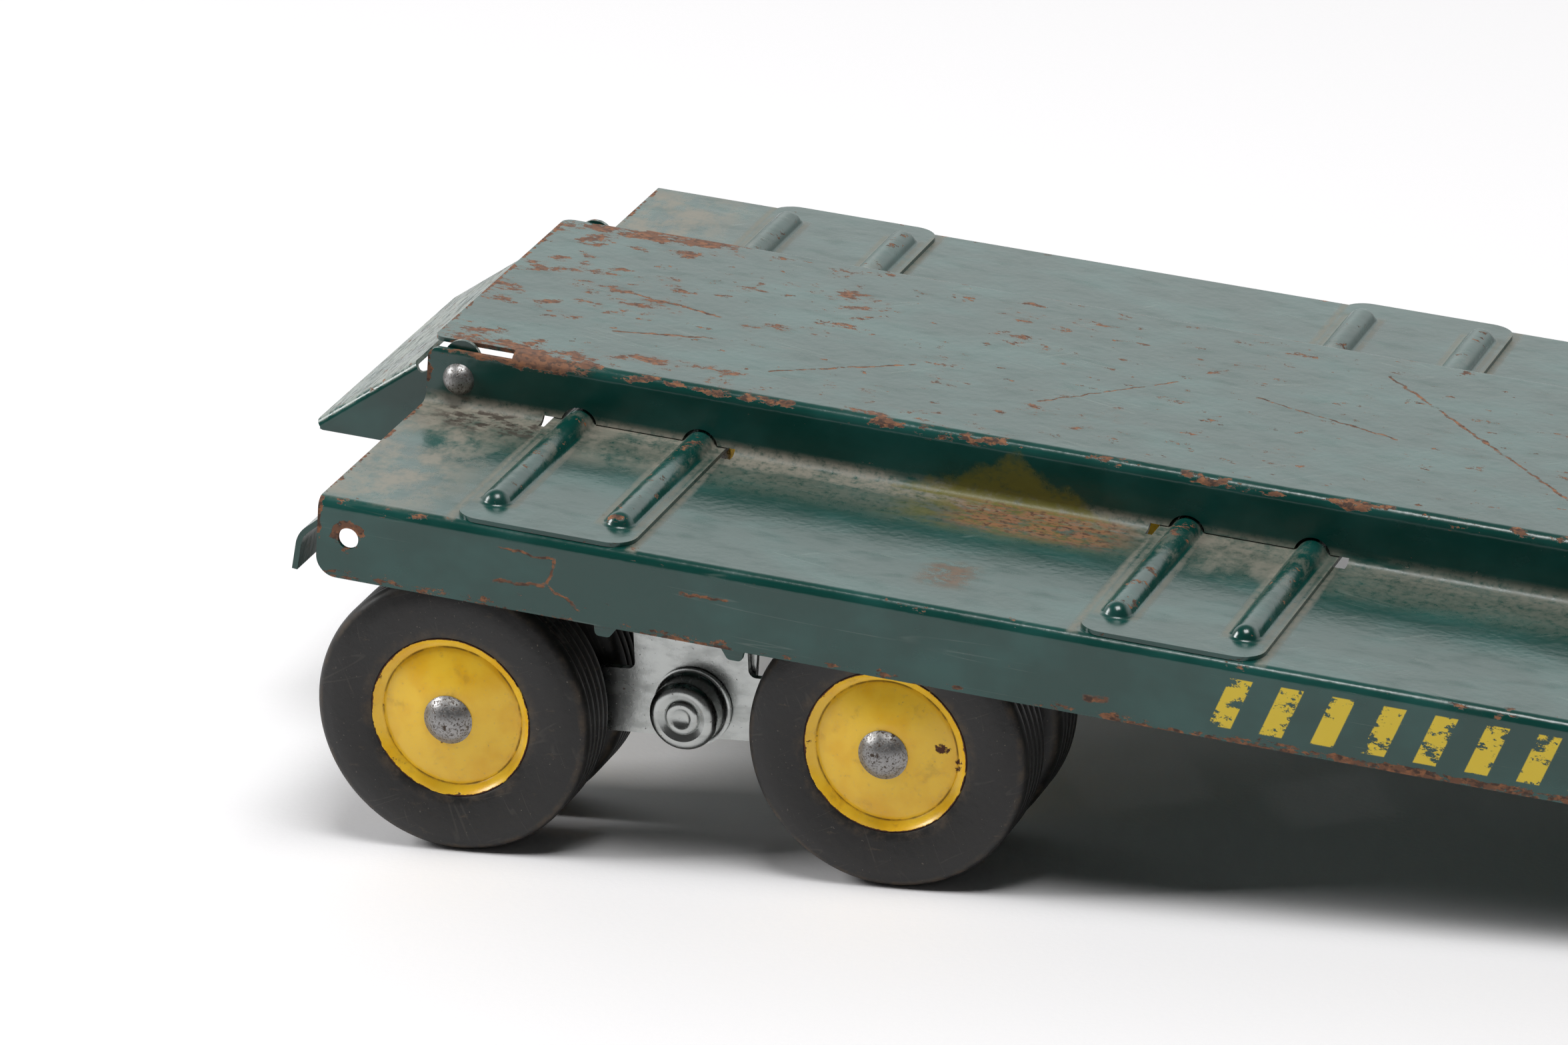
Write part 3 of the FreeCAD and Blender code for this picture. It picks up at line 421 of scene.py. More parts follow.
    def _rust(self, coats: Coats, deck: Signal, faces: "Faces") -> None:
        """Chips down to rusty steel, thick along the folds, cut edges and the rear of the
        centre's top."""
        tree = coats.tree
        x, across, z = faces.x, faces.across, faces.z
        clumps = grit(tree, deck, (17, 9, 9), 0.42, 0.6, 21.0, 2.0)
        crest = meeting(tree, close_to(tree, across, 50.4, 0.5, 3.4), faces.top, clumps)
        heavy = meeting(tree, close_to(tree, x, -66, 10, 34), close_to(tree, across, 48.5, 2, 11),
                        faces.top)
        hem = meeting(tree, close_to(tree, across, 122.4, 0.8, 3.4), close_to(tree, z, -0.8, 1.2, 3),
                      clumps)
        skirt = close_to(tree, across, 124, 2, 3)
        foot = meeting(tree, close_to(tree, z, -19.6, 0.9, 2.6), skirt)
        forward = meeting(tree, foot, close_to(tree, x, 260, 85, 150))
        stern = meeting(tree, close_to(tree, x, DECK_REAR, 0.3, 2.0),
                        grit(tree, deck, (5, 7, 5), 0.3, 0.6, 22.0, 2.0))
        clusters = grit(tree, deck, (24, 13, 12), 0.4, 0.62, 25.0, 3.0)
        rear_top = meeting(tree, faces.flat, faces.top, clusters,
                           add(tree, RANGE, {"Value": x, "From Min": 150, "From Max": -50,
                                             "To Min": 0.45}))
        toe = close_to(tree, from_edge(tree, across), 11.0, 1.5, 5)
        rib_toe = meeting(tree, toe, close_to(tree, z, 3.2, 0.8, 2.4))
        crowd = either(tree, meeting(tree, crest, 0.24), meeting(tree, heavy, 0.3),
                       meeting(tree, hem, 0.12), meeting(tree, foot, 0.17),
                       meeting(tree, forward, 0.26), meeting(tree, stern, 0.3),
                       meeting(tree, rib_toe, 0.14), self._hole_ring(tree, faces),
                       meeting(tree, rear_top, 0.17), meeting(tree, faces.ribs, 0.1),
                       meeting(tree, faces.top, faces.flat, 0.06))
        flecks = add(tree, NOISE, {"Vector": add(tree, PLACE, {"Vector": deck,
                                                              "Scale": (1 / 8, 1 / 4.5, 1 / 3)}),
                                   "Scale": 1.0, "Detail": 5.0, "Roughness": 0.74})
        level = add(tree, MATH, {0: flecks, 1: crowd}, operation="ADD")
        chips = add(tree, RANGE, {"Value": level, "From Min": 0.70, "From Max": 0.725},
                    interpolation_type="SMOOTHSTEP")
        self.corrode(coats, deck, chips)
        bloom = add(tree, RANGE, {"Value": level, "From Min": 0.62, "From Max": 0.72})
        bloom = meeting(tree, bloom, either(tree, heavy, rear_top), 0.35)
        coats.lay(bloom, self.rust, 0.5)

    def corrode(self, coats: Coats, deck: Signal, chips: Signal) -> None:
        """Lays rust of three tones where the chips are."""
        tree = coats.tree
        coats.lay(chips, self.rust, 0.8, -0.05)
        tone = grit(tree, deck, (2.4, 1.6, 1.6), 0.45, 0.6, 8.0, 3.0)
        coats.lay(meeting(tree, chips, tone), self.fresh_rust)
        coats.lay(meeting(tree, chips, grit(tree, deck, (1.8, 1.2, 1.2), 0.48, 0.6, 9.0)),
                  self.dark_rust)

    def _scars(self, coats: Coats, deck: Signal, faces: "Faces") -> None:
        """Long rusty scratches: four over the top and a hooked one on the near flange."""
        tree = coats.tree
        near = faces.near
        cuts = []
        for start, end, width in (((-8, -33), (24, -11), 0.55), ((106, 6), (146, -6), 0.45),
                                  ((132, 36), (204, -36), 0.55), ((-58, 4), (-30, -2), 0.6),
                                  ((-52, -24), (-26, -17), 0.6), ((58, -22), (86, 8), 0.35)):
            cuts.append(meeting(tree, scratch(tree, deck, start, end, width), faces.top,
                                faces.flat))
        side = add(tree, SPLIT, {0: deck})
        upright = add(tree, JOIN, {0: side.outputs[0], 1: side.outputs[2]})
        for start, end, width in (((-45, -13.5), (-31, -12), 0.6), ((-31, -12), (-29, -4.5), 0.5),
                                  ((-44, -4.2), (-29, -5.2), 0.35), ((2, -8), (15, -7.2), 0.5),
                                  ((103, -15.6), (110, -15.2), 0.9), ((-31, -12), (-22, -17), 0.4)):
            cuts.append(meeting(tree, scratch(tree, upright, start, end, width), near,
                                close_to(tree, faces.across, 124, 1.5, 2.5)))
        broken = grit(tree, deck, (6, 3, 3), 0.38, 0.5, 23.0, 4.0, 0.75)
        self.corrode(coats, deck, meeting(tree, either(tree, *cuts), broken))

    def _hole_ring(self, tree: bpy.types.NodeTree, faces: "Faces") -> Signal:
        """Worn ring round the hole near the flange's rear end, heaviest above it."""
        centre = add(tree, JOIN, {0: faces.x, 1: faces.z})
        apart = add(tree, "ShaderNodeVectorMath", {0: centre, 1: (-82.0, -8.9, 0)},
                    operation="DISTANCE").outputs["Value"]
        return meeting(tree, close_to(tree, apart, 3.0, 0.9, 2.2),
                       close_to(tree, faces.across, 124, 1.5, 2.5),
                       add(tree, RANGE, {"Value": faces.z, "From Min": -13, "From Max": -7,
                                         "To Min": 0.08, "To Max": 0.26}))

    def _stain(self, coats: Coats, deck: Signal, faces: "Faces") -> None:
        """An old olive spill down the near wall, with rust where it pooled on the deck."""
        tree = coats.tree
        ragged = add(tree, NOISE, {"Vector": deck, "Scale": 1 / 7, "Detail": 5.0,
                                   "Roughness": 0.65})
        slope = add(tree, MATH, {0: add(tree, MATH, {0: faces.x, 1: 62.0}, operation="SUBTRACT")},
                    operation="ABSOLUTE")
        peak = add(tree, MATH, {0: slope, 1: -0.46, 2: 9.0}, operation="MULTIPLY_ADD")
        peak = add(tree, MATH, {0: ragged, 1: 14.0, 2: peak}, operation="MULTIPLY_ADD")
        over = add(tree, MATH, {0: peak, 1: faces.z}, operation="SUBTRACT")
        wall = meeting(tree, add(tree, RANGE, {"Value": over, "From Min": 2.0, "From Max": 6.5},
                                 interpolation_type="SMOOTHSTEP"),
                       faces.near, close_to(tree, faces.across, 51.5, 1.6, 3.0),
                       grit(tree, deck, (4, 4, 3), 0.2, 0.55, 24.0, 5.0, 0.7))
        coats.lay(meeting(tree, wall, 0.9), self.olive, 0.4)
        floor = meeting(tree, faces.near, faces.floor)
        spread = meeting(tree, close_to(tree, faces.x, 64, 12, 38),
                         close_to(tree, faces.across, 56, 9, 22), floor)
        patches = grit(tree, deck, (8, 4, 4), 0.38, 0.6, 11.0, 5.0, 0.72)
        coats.lay(meeting(tree, spread, patches, 0.72), self.olive, 0.5)
        pool = meeting(tree, close_to(tree, faces.x, 72, 12, 28),
                       close_to(tree, faces.across, 61, 5, 13), floor)
        spot = meeting(tree, close_to(tree, faces.x, 62, 2, 9),
                       close_to(tree, faces.across, 102, 3, 11), floor, 0.6)
        core = meeting(tree, either(tree, pool, spot),
                       grit(tree, deck, (5, 2.4, 3), 0.4, 0.56, 12.0, 5.0, 0.75))
        coats.lay(meeting(tree, core, 0.8), self.fresh_rust, 0.7, 0.03)
        coats.lay(meeting(tree, core, grit(tree, deck, (2, 1.6, 2), 0.5, 0.62, 14.0, 4.0)),
                  self.dark_rust)

    def _dashes(self, coats: Coats, deck: Signal, faces: "Faces") -> None:
        """A plain row of worn yellow slanting dashes stencilled along both flanges."""
        tree = coats.tree
        slant = add(tree, MATH, {0: faces.z, 1: -0.35, 2: faces.x}, operation="MULTIPLY_ADD")
        step = add(tree, MATH, {0: slant, 1: 12.4}, operation="FLOORED_MODULO")
        bars = close_to(tree, step, 6.2, 2.6, 2.9)
        run = close_to(tree, add(tree, MATH, {0: slant, 1: 136.4}, operation="SUBTRACT"),
                       155.0, 154.9, 155.0)
        band = meeting(tree, close_to(tree, faces.z, -10.2, 6.2, 6.5), run,
                       close_to(tree, faces.across, 124, 1.0, 1.4))
        worn = grit(tree, deck, (8, 8, 4.5), 0.56, 0.52, 13.0, 5.0, 0.78)
        coats.lay(meeting(tree, bars, band, worn), self.mark, 0.32, 0.02)


@dataclass(frozen=True)
class RampEnamel(GreenEnamel):
    """The deck's enamel where feet and toy wheels have run over it: the ramp's plate is
    scuffed grey and worn through in streaks across it, its cheeks are still clean."""

    name: str = "scuffed_ramp_enamel"
    paint: str = "0A3A33"

    def build(self) -> bpy.types.Material:
        """Builds the material.

        Returns:
            The material.
        """
        coats = Coats(self.name, self.paint, 0.2, IOR=1.56)
        tree = coats.tree
        row = coats.millimetres()
        facing = add(tree, SPLIT, {0: add(tree, "ShaderNodeTexCoord").outputs["Normal"]})
        sideways = add(tree, MATH, {0: facing.outputs[1]}, operation="ABSOLUTE")
        plate = add(tree, RANGE, {"Value": sideways, "From Min": 0.6, "From Max": 0.2})
        self._grain(coats, row)
        coats.lay(meeting(tree, plate, grit(tree, row, (4, 16, 4), 0.36, 0.62, 31.0, 4.0, 0.7),
                          0.7), "A9AEA6", 0.45)
        coats.lay(meeting(tree, plate, grit(tree, row, (1.2, 9, 1.2), 0.52, 0.6, 32.0, 4.0, 0.7),
                          0.8), "2B3A34", 0.5)
        chips = meeting(tree, plate, grit(tree, row, (2.4, 6, 2.4), 0.6, 0.66, 33.0, 5.0, 0.75))
        edge = meeting(tree, close_to(tree, sideways, 0.5, 0.25, 0.45),
                       grit(tree, row, (3, 3, 3), 0.4, 0.55, 34.0, 4.0, 0.7))
        coats.lay(meeting(tree, edge, 0.7), self.bare, 0.35)
        self.corrode(coats, row, either(tree, chips, meeting(
            tree, edge, grit(tree, row, (3, 3, 3), 0.56, 0.62, 35.0))))
        return coats.finish()


class Faces:
    """Where a point of the pressing lies: its coordinates and the level it belongs to."""

    def __init__(self, tree: bpy.types.NodeTree, deck: Signal) -> None:
        """Splits the deck's coordinates into the masks that the coats share.

        Args:
            tree: the material's tree.
            deck: coordinates along the deck, in millimetres.
        """
        split = add(tree, SPLIT, {0: deck})
        self.x, self.y, self.z = split.outputs
        self.across = add(tree, MATH, {0: self.y}, operation="ABSOLUTE")
        own = add(tree, "ShaderNodeTexCoord").outputs["Normal"]
        self.flat = add(tree, RANGE, {"Value": add(tree, SPLIT, {0: own}).outputs[2],
                                      "From Min": 0.8, "From Max": 0.97})
        self.top = add(tree, RANGE, {"Value": self.z, "From Min": 11.5, "From Max": 14.5})
        self.floor = meeting(tree, close_to(tree, self.z, 0.4, 1.8, 3.6), self.flat)
        self.side = close_to(tree, self.across, 124, 1.5, 2.5)
        self.ribs = meeting(tree, close_to(tree, self.z, 4.3, 1.4, 3.0),
                            close_to(tree, self.across, 84, 30, 33))
        self.near = add(tree, RANGE, {"Value": self.y, "From Min": -40, "From Max": -48})


@dataclass(frozen=True)
class YellowEnamel:
    """Yellow enamel on a pressed hub disc: warm, smooth and faintly dirty, rusty at its rim."""

    name: str = "yellow_stoved_enamel"
    paint: str = "F4C634"
    deep: str = "EBB51E"
    grime: str = "80591C"
    rust: str = "4E2A1A"

    def build(self) -> bpy.types.Material:
        """Builds the material.

        Returns:
            The material.
        """
        coats = Coats(self.name, self.paint, 0.26, IOR=1.5)
        tree = coats.tree
        row = coats.millimetres()
        radius = turned_radius(tree)
        coats.lay(grit(tree, row, (9, 9, 9), 0.4, 0.7, 1.0), self.deep)
        rim = add(tree, RANGE, {"Value": radius, "From Min": 18.8, "From Max": 20.3})
        specks = grit(tree, row, (1.0, 1.0, 1.0), 0.58, 0.72, 2.0, 4.0, 0.7)
        coats.lay(meeting(tree, specks, 0.35), self.grime, 0.5)
        smears = grit(tree, row, (8, 8, 8), 0.54, 0.7, 3.0, 5.0, 0.7)
        coats.lay(meeting(tree, smears, 0.3), self.grime, 0.5)
        crease = close_to(tree, radius, 17.75, 0.1, 0.4)
        coats.lay(meeting(tree, crease, grit(tree, row, (4, 4, 4), 0.36, 0.6, 4.0), 0.6),
                  self.rust, 0.7)
        flecks = add(tree, NOISE, {"Vector": add(tree, PLACE, {"Vector": row,
                                                              "Scale": (1 / 5,) * 3}),
                                   "Scale": 1.0, "Detail": 5.0, "Roughness": 0.72})
        lip = close_to(tree, radius, 20.4, 0.15, 0.6)
        plane = add(tree, SPLIT, {0: row})
        plane = add(tree, JOIN, {0: plane.outputs[0], 1: plane.outputs[2]})
        bruises = []
        for x, z, size in ((-18.2, 2.0, 3.4), (14.5, 2.4, 3.0), (18.0, -2.0, 3.2)):
            spot = (DECK_SHIFT + HALF_WHEELBASE + x, PIVOT_HEIGHT + z, 0)
            apart = add(tree, "ShaderNodeVectorMath", {0: plane, 1: spot},
                        operation="DISTANCE").outputs["Value"]
            bruises.append(meeting(tree, close_to(tree, apart, 0.0, size * 0.3, size), 0.22))
        crowd = either(tree, meeting(tree, rim, 0.12), meeting(tree, lip, 0.3), *bruises)
        crowd = add(tree, MATH, {0: crowd, 1: flecks}, operation="ADD")
        chips = add(tree, RANGE, {"Value": crowd, "From Min": 0.70, "From Max": 0.74})
        coats.lay(chips, self.rust, 0.8, -0.04)
        coats.lay(grit(tree, row, (1.8, 1.8, 1.8), 0.3, 0.7, 5.0, 1.0), height=0.01)
        return coats.finish()


@dataclass(frozen=True)
class TyreRubber:
    """Moulded natural rubber, sixty years old: matt black with a grey bloom, brown dust
    at its bead and shallow cuts."""

    name: str = "moulded_tyre_rubber"
    rubber: str = "131211"
    bloom: str = "232120"
    dust: str = "5A4C3C"

    def build(self) -> bpy.types.Material:
        """Builds the material.

        Returns:
            The material.
        """
        coats = Coats(self.name, self.rubber, 0.46, IOR=1.5)
        tree = coats.tree
        row = coats.millimetres()
        radius = turned_radius(tree)
        coats.lay(grit(tree, row, (14, 10, 14), 0.42, 0.75, 1.0, 5.0, 0.6), self.bloom, 0.6)
        bead = close_to(tree, radius, 20.8, 0.6, 3.0)
        grooves = meeting(tree, add(tree, RANGE, {"Value": radius, "From Min": 34.75,
                                                  "From Max": 34.2}),
                          add(tree, RANGE, {"Value": radius, "From Min": 32.8, "From Max": 33.6}))
        dirt = grit(tree, row, (5, 5, 5), 0.4, 0.68, 2.0, 5.0, 0.7)
        coats.lay(meeting(tree, either(tree, grooves, bead), dirt, 0.55), self.dust, 0.8)
        scuffs = grit(tree, row, (7, 4, 2.2), 0.6, 0.72, 3.0, 5.0, 0.75)
        coats.lay(meeting(tree, scuffs, 0.45), self.dust, 0.7)
        for seed, turn in ((6.0, 0.4), (7.0, 1.9)):
            turned = add(tree, PLACE, {"Vector": row, "Rotation": (0, turn, 0)})
            lines = meeting(tree, hairline(tree, turned, (16, 8, 2), seed),
                            grit(tree, row, (9, 9, 9), 0.5, 0.62, seed + 2))
            coats.lay(meeting(tree, lines, 0.22), "57524B", 0.7, -0.02)
        coats.lay(grit(tree, row, (0.8, 0.8, 0.8), 0.7, 0.76, 4.0, 2.0), "5D574F", 0.7)
        coats.lay(grit(tree, row, (4, 4, 4), 0.3, 0.7, 5.0, 6.0, 0.62), height=0.06)
        return coats.finish()


@dataclass(frozen=True)
class ZincPlate:
    """Bright zinc plating on mild steel: satin silver with dark pits and rusty edges."""

    name: str = "bright_zinc_plate"
    metal: str = "B0B3B1"
    dull: str = "999C9A"
    rust: str = "4F3B2E"

    def build(self) -> bpy.types.Material:
        """Builds the material.

        Returns:
            The material.
        """
        coats = Coats(self.name, self.metal, 0.24, Metallic=1.0)
        tree = coats.tree
        row = coats.millimetres()
        coats.lay(grit(tree, row, (9, 9, 4), 0.4, 0.75, 1.0, 4.0), self.dull, 0.34)
        coats.lay(grit(tree, row, (1.1, 1.1, 1.1), 0.66, 0.72, 2.0, 4.0, 0.7), self.rust, 0.7, -0.02)
        coats.lay(grit(tree, row, (5, 5, 5), 0.68, 0.74, 3.0, 5.0, 0.7), self.rust, 0.75, -0.02)
        coats.lay(grit(tree, row, (1.8, 1.8, 1.8), 0.3, 0.7, 4.0, 2.0), height=0.01)
        return coats.finish()


@dataclass(frozen=True)
class RivetSteel:
    """Bare mild-steel rivet heads: grey, worn smooth on top and finely pitted."""

    name: str = "pitted_rivet_steel"
    metal: str = "9C9B9A"
    pit: str = "554B43"

    def build(self) -> bpy.types.Material:
        """Builds the material.

        Returns:
            The material.
        """
        coats = Coats(self.name, self.metal, 0.38, Metallic=1.0)
        tree = coats.tree
        row = coats.millimetres()
        coats.lay(grit(tree, row, (3, 3, 3), 0.4, 0.65, 1.0, 4.0), roughness=0.52)
        coats.lay(grit(tree, row, (0.55, 0.55, 0.55), 0.5, 0.66, 2.0, 3.0, 0.7), self.pit, 0.7,
                  -0.03)
        coats.lay(grit(tree, row, (2.2, 2.2, 2.2), 0.6, 0.7, 3.0, 4.0), self.pit, 0.7, -0.03)
        return coats.finish()


@dataclass(frozen=True)
class FloorPaper:
    """Seamless white paper: bright and even, with no pattern of its own."""

    name: str = "white_seamless_paper"
    paper: str = "F2F1F2"

    def build(self) -> bpy.types.Material:
        """Builds the material.

        Returns:
            The material.
        """
        coats = Coats(self.name, self.paper, 0.7, IOR=1.3)
        row = coats.millimetres()
        coats.lay(grit(coats.tree, row, (1.6, 1.6, 1.6), 0.3, 0.7, 1.0, 2.0), height=0.02)
        return coats.finish()


# ---- turned pieces ----
class Spinner:
    """A Geometry Nodes tree that spins an outline round a level cross axle."""

    def __init__(self) -> None:
        """Builds the tree once, for every turned piece."""
        self.tree = bpy.data.node_groups.new("spun_outline", "GeometryNodeTree")
        self.sockets: dict[str, str] = {}
        tree = self.tree
        for name, kind in (("Outline", "Geometry"), ("Points", "Int"), ("Steps", "Int"),
                           ("Centre", "Vector"), ("Inward", "Float"), ("Wobble", "Float"),
                           ("Wobble Size", "Float"), ("Seed", "Float"), ("Crease", "Float"),
                           ("Finish", "Material")):
            made = tree.interface.new_socket(name=name, in_out="INPUT",
                                             socket_type="NodeSocket" + kind)
            self.sockets[name] = made.identifier
        tree.interface.new_socket(name="Piece", in_out="OUTPUT",
                                  socket_type="NodeSocketGeometry")
        given = add(tree, "NodeGroupInput").outputs
        rows = add(tree, MATH, {0: given["Steps"], 1: 1.0}, operation="ADD")
        grid = add(tree, "GeometryNodeMeshGrid",
                   {"Vertices X": rows, "Vertices Y": given["Points"]})
        index = add(tree, "GeometryNodeInputIndex")
        along = add(tree, MATH, {0: index, 1: given["Points"]}, operation="FLOORED_MODULO")
        round_ = add(tree, MATH, {0: index, 1: given["Points"]}, operation="DIVIDE")
        round_ = add(tree, MATH, {0: round_}, operation="FLOOR")
        share = add(tree, MATH, {0: round_, 1: given["Steps"]}, operation="DIVIDE")
        sample = add(tree, "GeometryNodeSampleIndex",
                     {"Geometry": given["Outline"], "Index": along}, data_type="FLOAT_VECTOR")
        tree.links.new(add(tree, "GeometryNodeInputPosition").outputs[0], sample.inputs["Value"])
        point = add(tree, SPLIT, {0: sample})
        angle = add(tree, MATH, {0: share, 1: math.tau}, operation="MULTIPLY")
        cos = add(tree, MATH, {0: angle}, operation="COSINE")
        sin = add(tree, MATH, {0: angle}, operation="SINE")
        spun = add(tree, JOIN, {
            0: add(tree, MATH, {0: cos, 1: point.outputs[1]}, operation="MULTIPLY"),
            1: add(tree, MATH, {0: point.outputs[0], 1: given["Inward"]}, operation="MULTIPLY"),
            2: add(tree, MATH, {0: sin, 1: point.outputs[1]}, operation="MULTIPLY")})
        noise = add(tree, NOISE, {"Vector": spun, "W": given["Seed"],
                                  "Scale": given["Wobble Size"], "Detail": 2.0},
                    noise_dimensions="4D")
        swing = add(tree, MATH, {0: noise.outputs[0], 1: 1.0}, operation="SUBTRACT")
        swing = add(tree, MATH, {0: swing, 1: given["Wobble"]}, operation="MULTIPLY")
        outward = add(tree, JOIN, {0: cos, 1: 0.0, 2: sin})
        outward = add(tree, "ShaderNodeVectorMath", {0: outward, "Scale": swing},
                      operation="SCALE")
        place = add(tree, "ShaderNodeVectorMath", {0: spun, 1: outward}, operation="ADD")
        place = add(tree, "ShaderNodeVectorMath", {0: place, 1: given["Centre"]}, operation="ADD")
        held = add(tree, "GeometryNodeCaptureAttribute", {"Geometry": grid}, domain="POINT")
        held.capture_items.new("VECTOR", "Turned")
        map_point = add(tree, JOIN, {
            0: add(tree, MATH, {0: point.outputs[1], 1: 10.0}, operation="MULTIPLY"), 1: share})
        tree.links.new(map_point.outputs[0], held.inputs[1])
        shaped = add(tree, "GeometryNodeSetPosition", {"Geometry": held, "Position": place})
        mapped = add(tree, "GeometryNodeStoreNamedAttribute",
                     {"Geometry": shaped, "Name": "turned", "Value": held.outputs[1]},
                     data_type="FLOAT2", domain="CORNER")
        joined = add(tree, "GeometryNodeMergeByDistance",
                     {"Geometry": mapped, "Distance": 0.000002})
        fold = add(tree, "GeometryNodeInputMeshEdgeAngle")
        soft = add(tree, "FunctionNodeCompare", {0: fold.outputs[0], 1: given["Crease"]},
                   data_type="FLOAT", operation="LESS_THAN")
        smooth = add(tree, "GeometryNodeSetShadeSmooth", {"Geometry": joined}, domain="FACE")
        creased = add(tree, "GeometryNodeSetShadeSmooth",
                      {"Geometry": smooth, "Shade Smooth": soft}, domain="EDGE")
        real = add(tree, "GeometryNodeRealizeInstances", {"Geometry": creased})
        dressed = add(tree, "GeometryNodeSetMaterial",
                      {"Geometry": real, "Material": given["Finish"]})
        add(tree, "NodeGroupOutput", {"Piece": dressed})

    def spin(self, name: str, outline: Outline, centre: Vector, side: Side,
             finish: bpy.types.Material, steps: int = 96, wobble: float = 0.0,
             wobble_size: float = 12.0, seed: float = 0.0) -> bpy.types.Object:
        """Turns an outline into a plain mesh piece.

        Args:
            name: the piece's name.
            outline: (depth, radius) points in millimetres, from the outer face inward, in
                the order that puts the solid on the right.
            centre: the axle's point at depth 0, in metres.
            side: the side of the trailer the piece faces.
            finish: its material.
            steps: facets round the axle.
            wobble: swing of the worn surface, in millimetres.
            wobble_size: length of that swing, in millimetres.
            seed: moves the wobble.

        Returns:
            The piece, with its place in its mesh.
        """
        points = [(depth * MM, radius * MM, 0) for depth, radius in outline]
        mesh = bpy.data.meshes.new(name + "_outline")
        mesh.from_pydata(points, [(i, i + 1) for i in range(len(points) - 1)], [])
        source = bpy.data.objects.new(name + "_outline", mesh)
        bpy.context.scene.collection.objects.link(source)
        modifier = source.modifiers.new("spin", "NODES")
        modifier.node_group = self.tree
        for key, value in (("Points", len(points)), ("Steps", steps), ("Centre", centre),
                           ("Inward", -float(side.value)), ("Wobble", wobble * MM),
                           ("Wobble Size", 1 / (wobble_size * MM)), ("Seed", seed),
                           ("Crease", math.radians(32)), ("Finish", finish)):
            modifier[self.sockets[key]] = value
        baked = bpy.data.meshes.new_from_object(
            source.evaluated_get(bpy.context.evaluated_depsgraph_get()))
        bpy.data.objects.remove(source)
        if side is Side.FAR:
            baked.flip_normals()
        piece = bpy.data.objects.new(name, baked)
        bpy.context.scene.collection.objects.link(piece)
        return piece


def bow(start: tuple[float, float], through: tuple[float, float], end: tuple[float, float],
        count: int) -> list[tuple[float, float]]:
    """Points on a smooth curve through three points.

    Args:
        start: first point.
        through: middle point.
        end: last point.
        count: number of steps.

    Returns:
        count + 1 points, with both ends.
    """
    points = []
    for i in range(count + 1):
        t = i / count
        a, b, c = (1 - t) * (1 - 2 * t), 4 * t * (1 - t), t * (2 * t - 1)
        points.append(tuple(a * p + b * q + c * r for p, q, r in zip(start, through, end)))
    return points


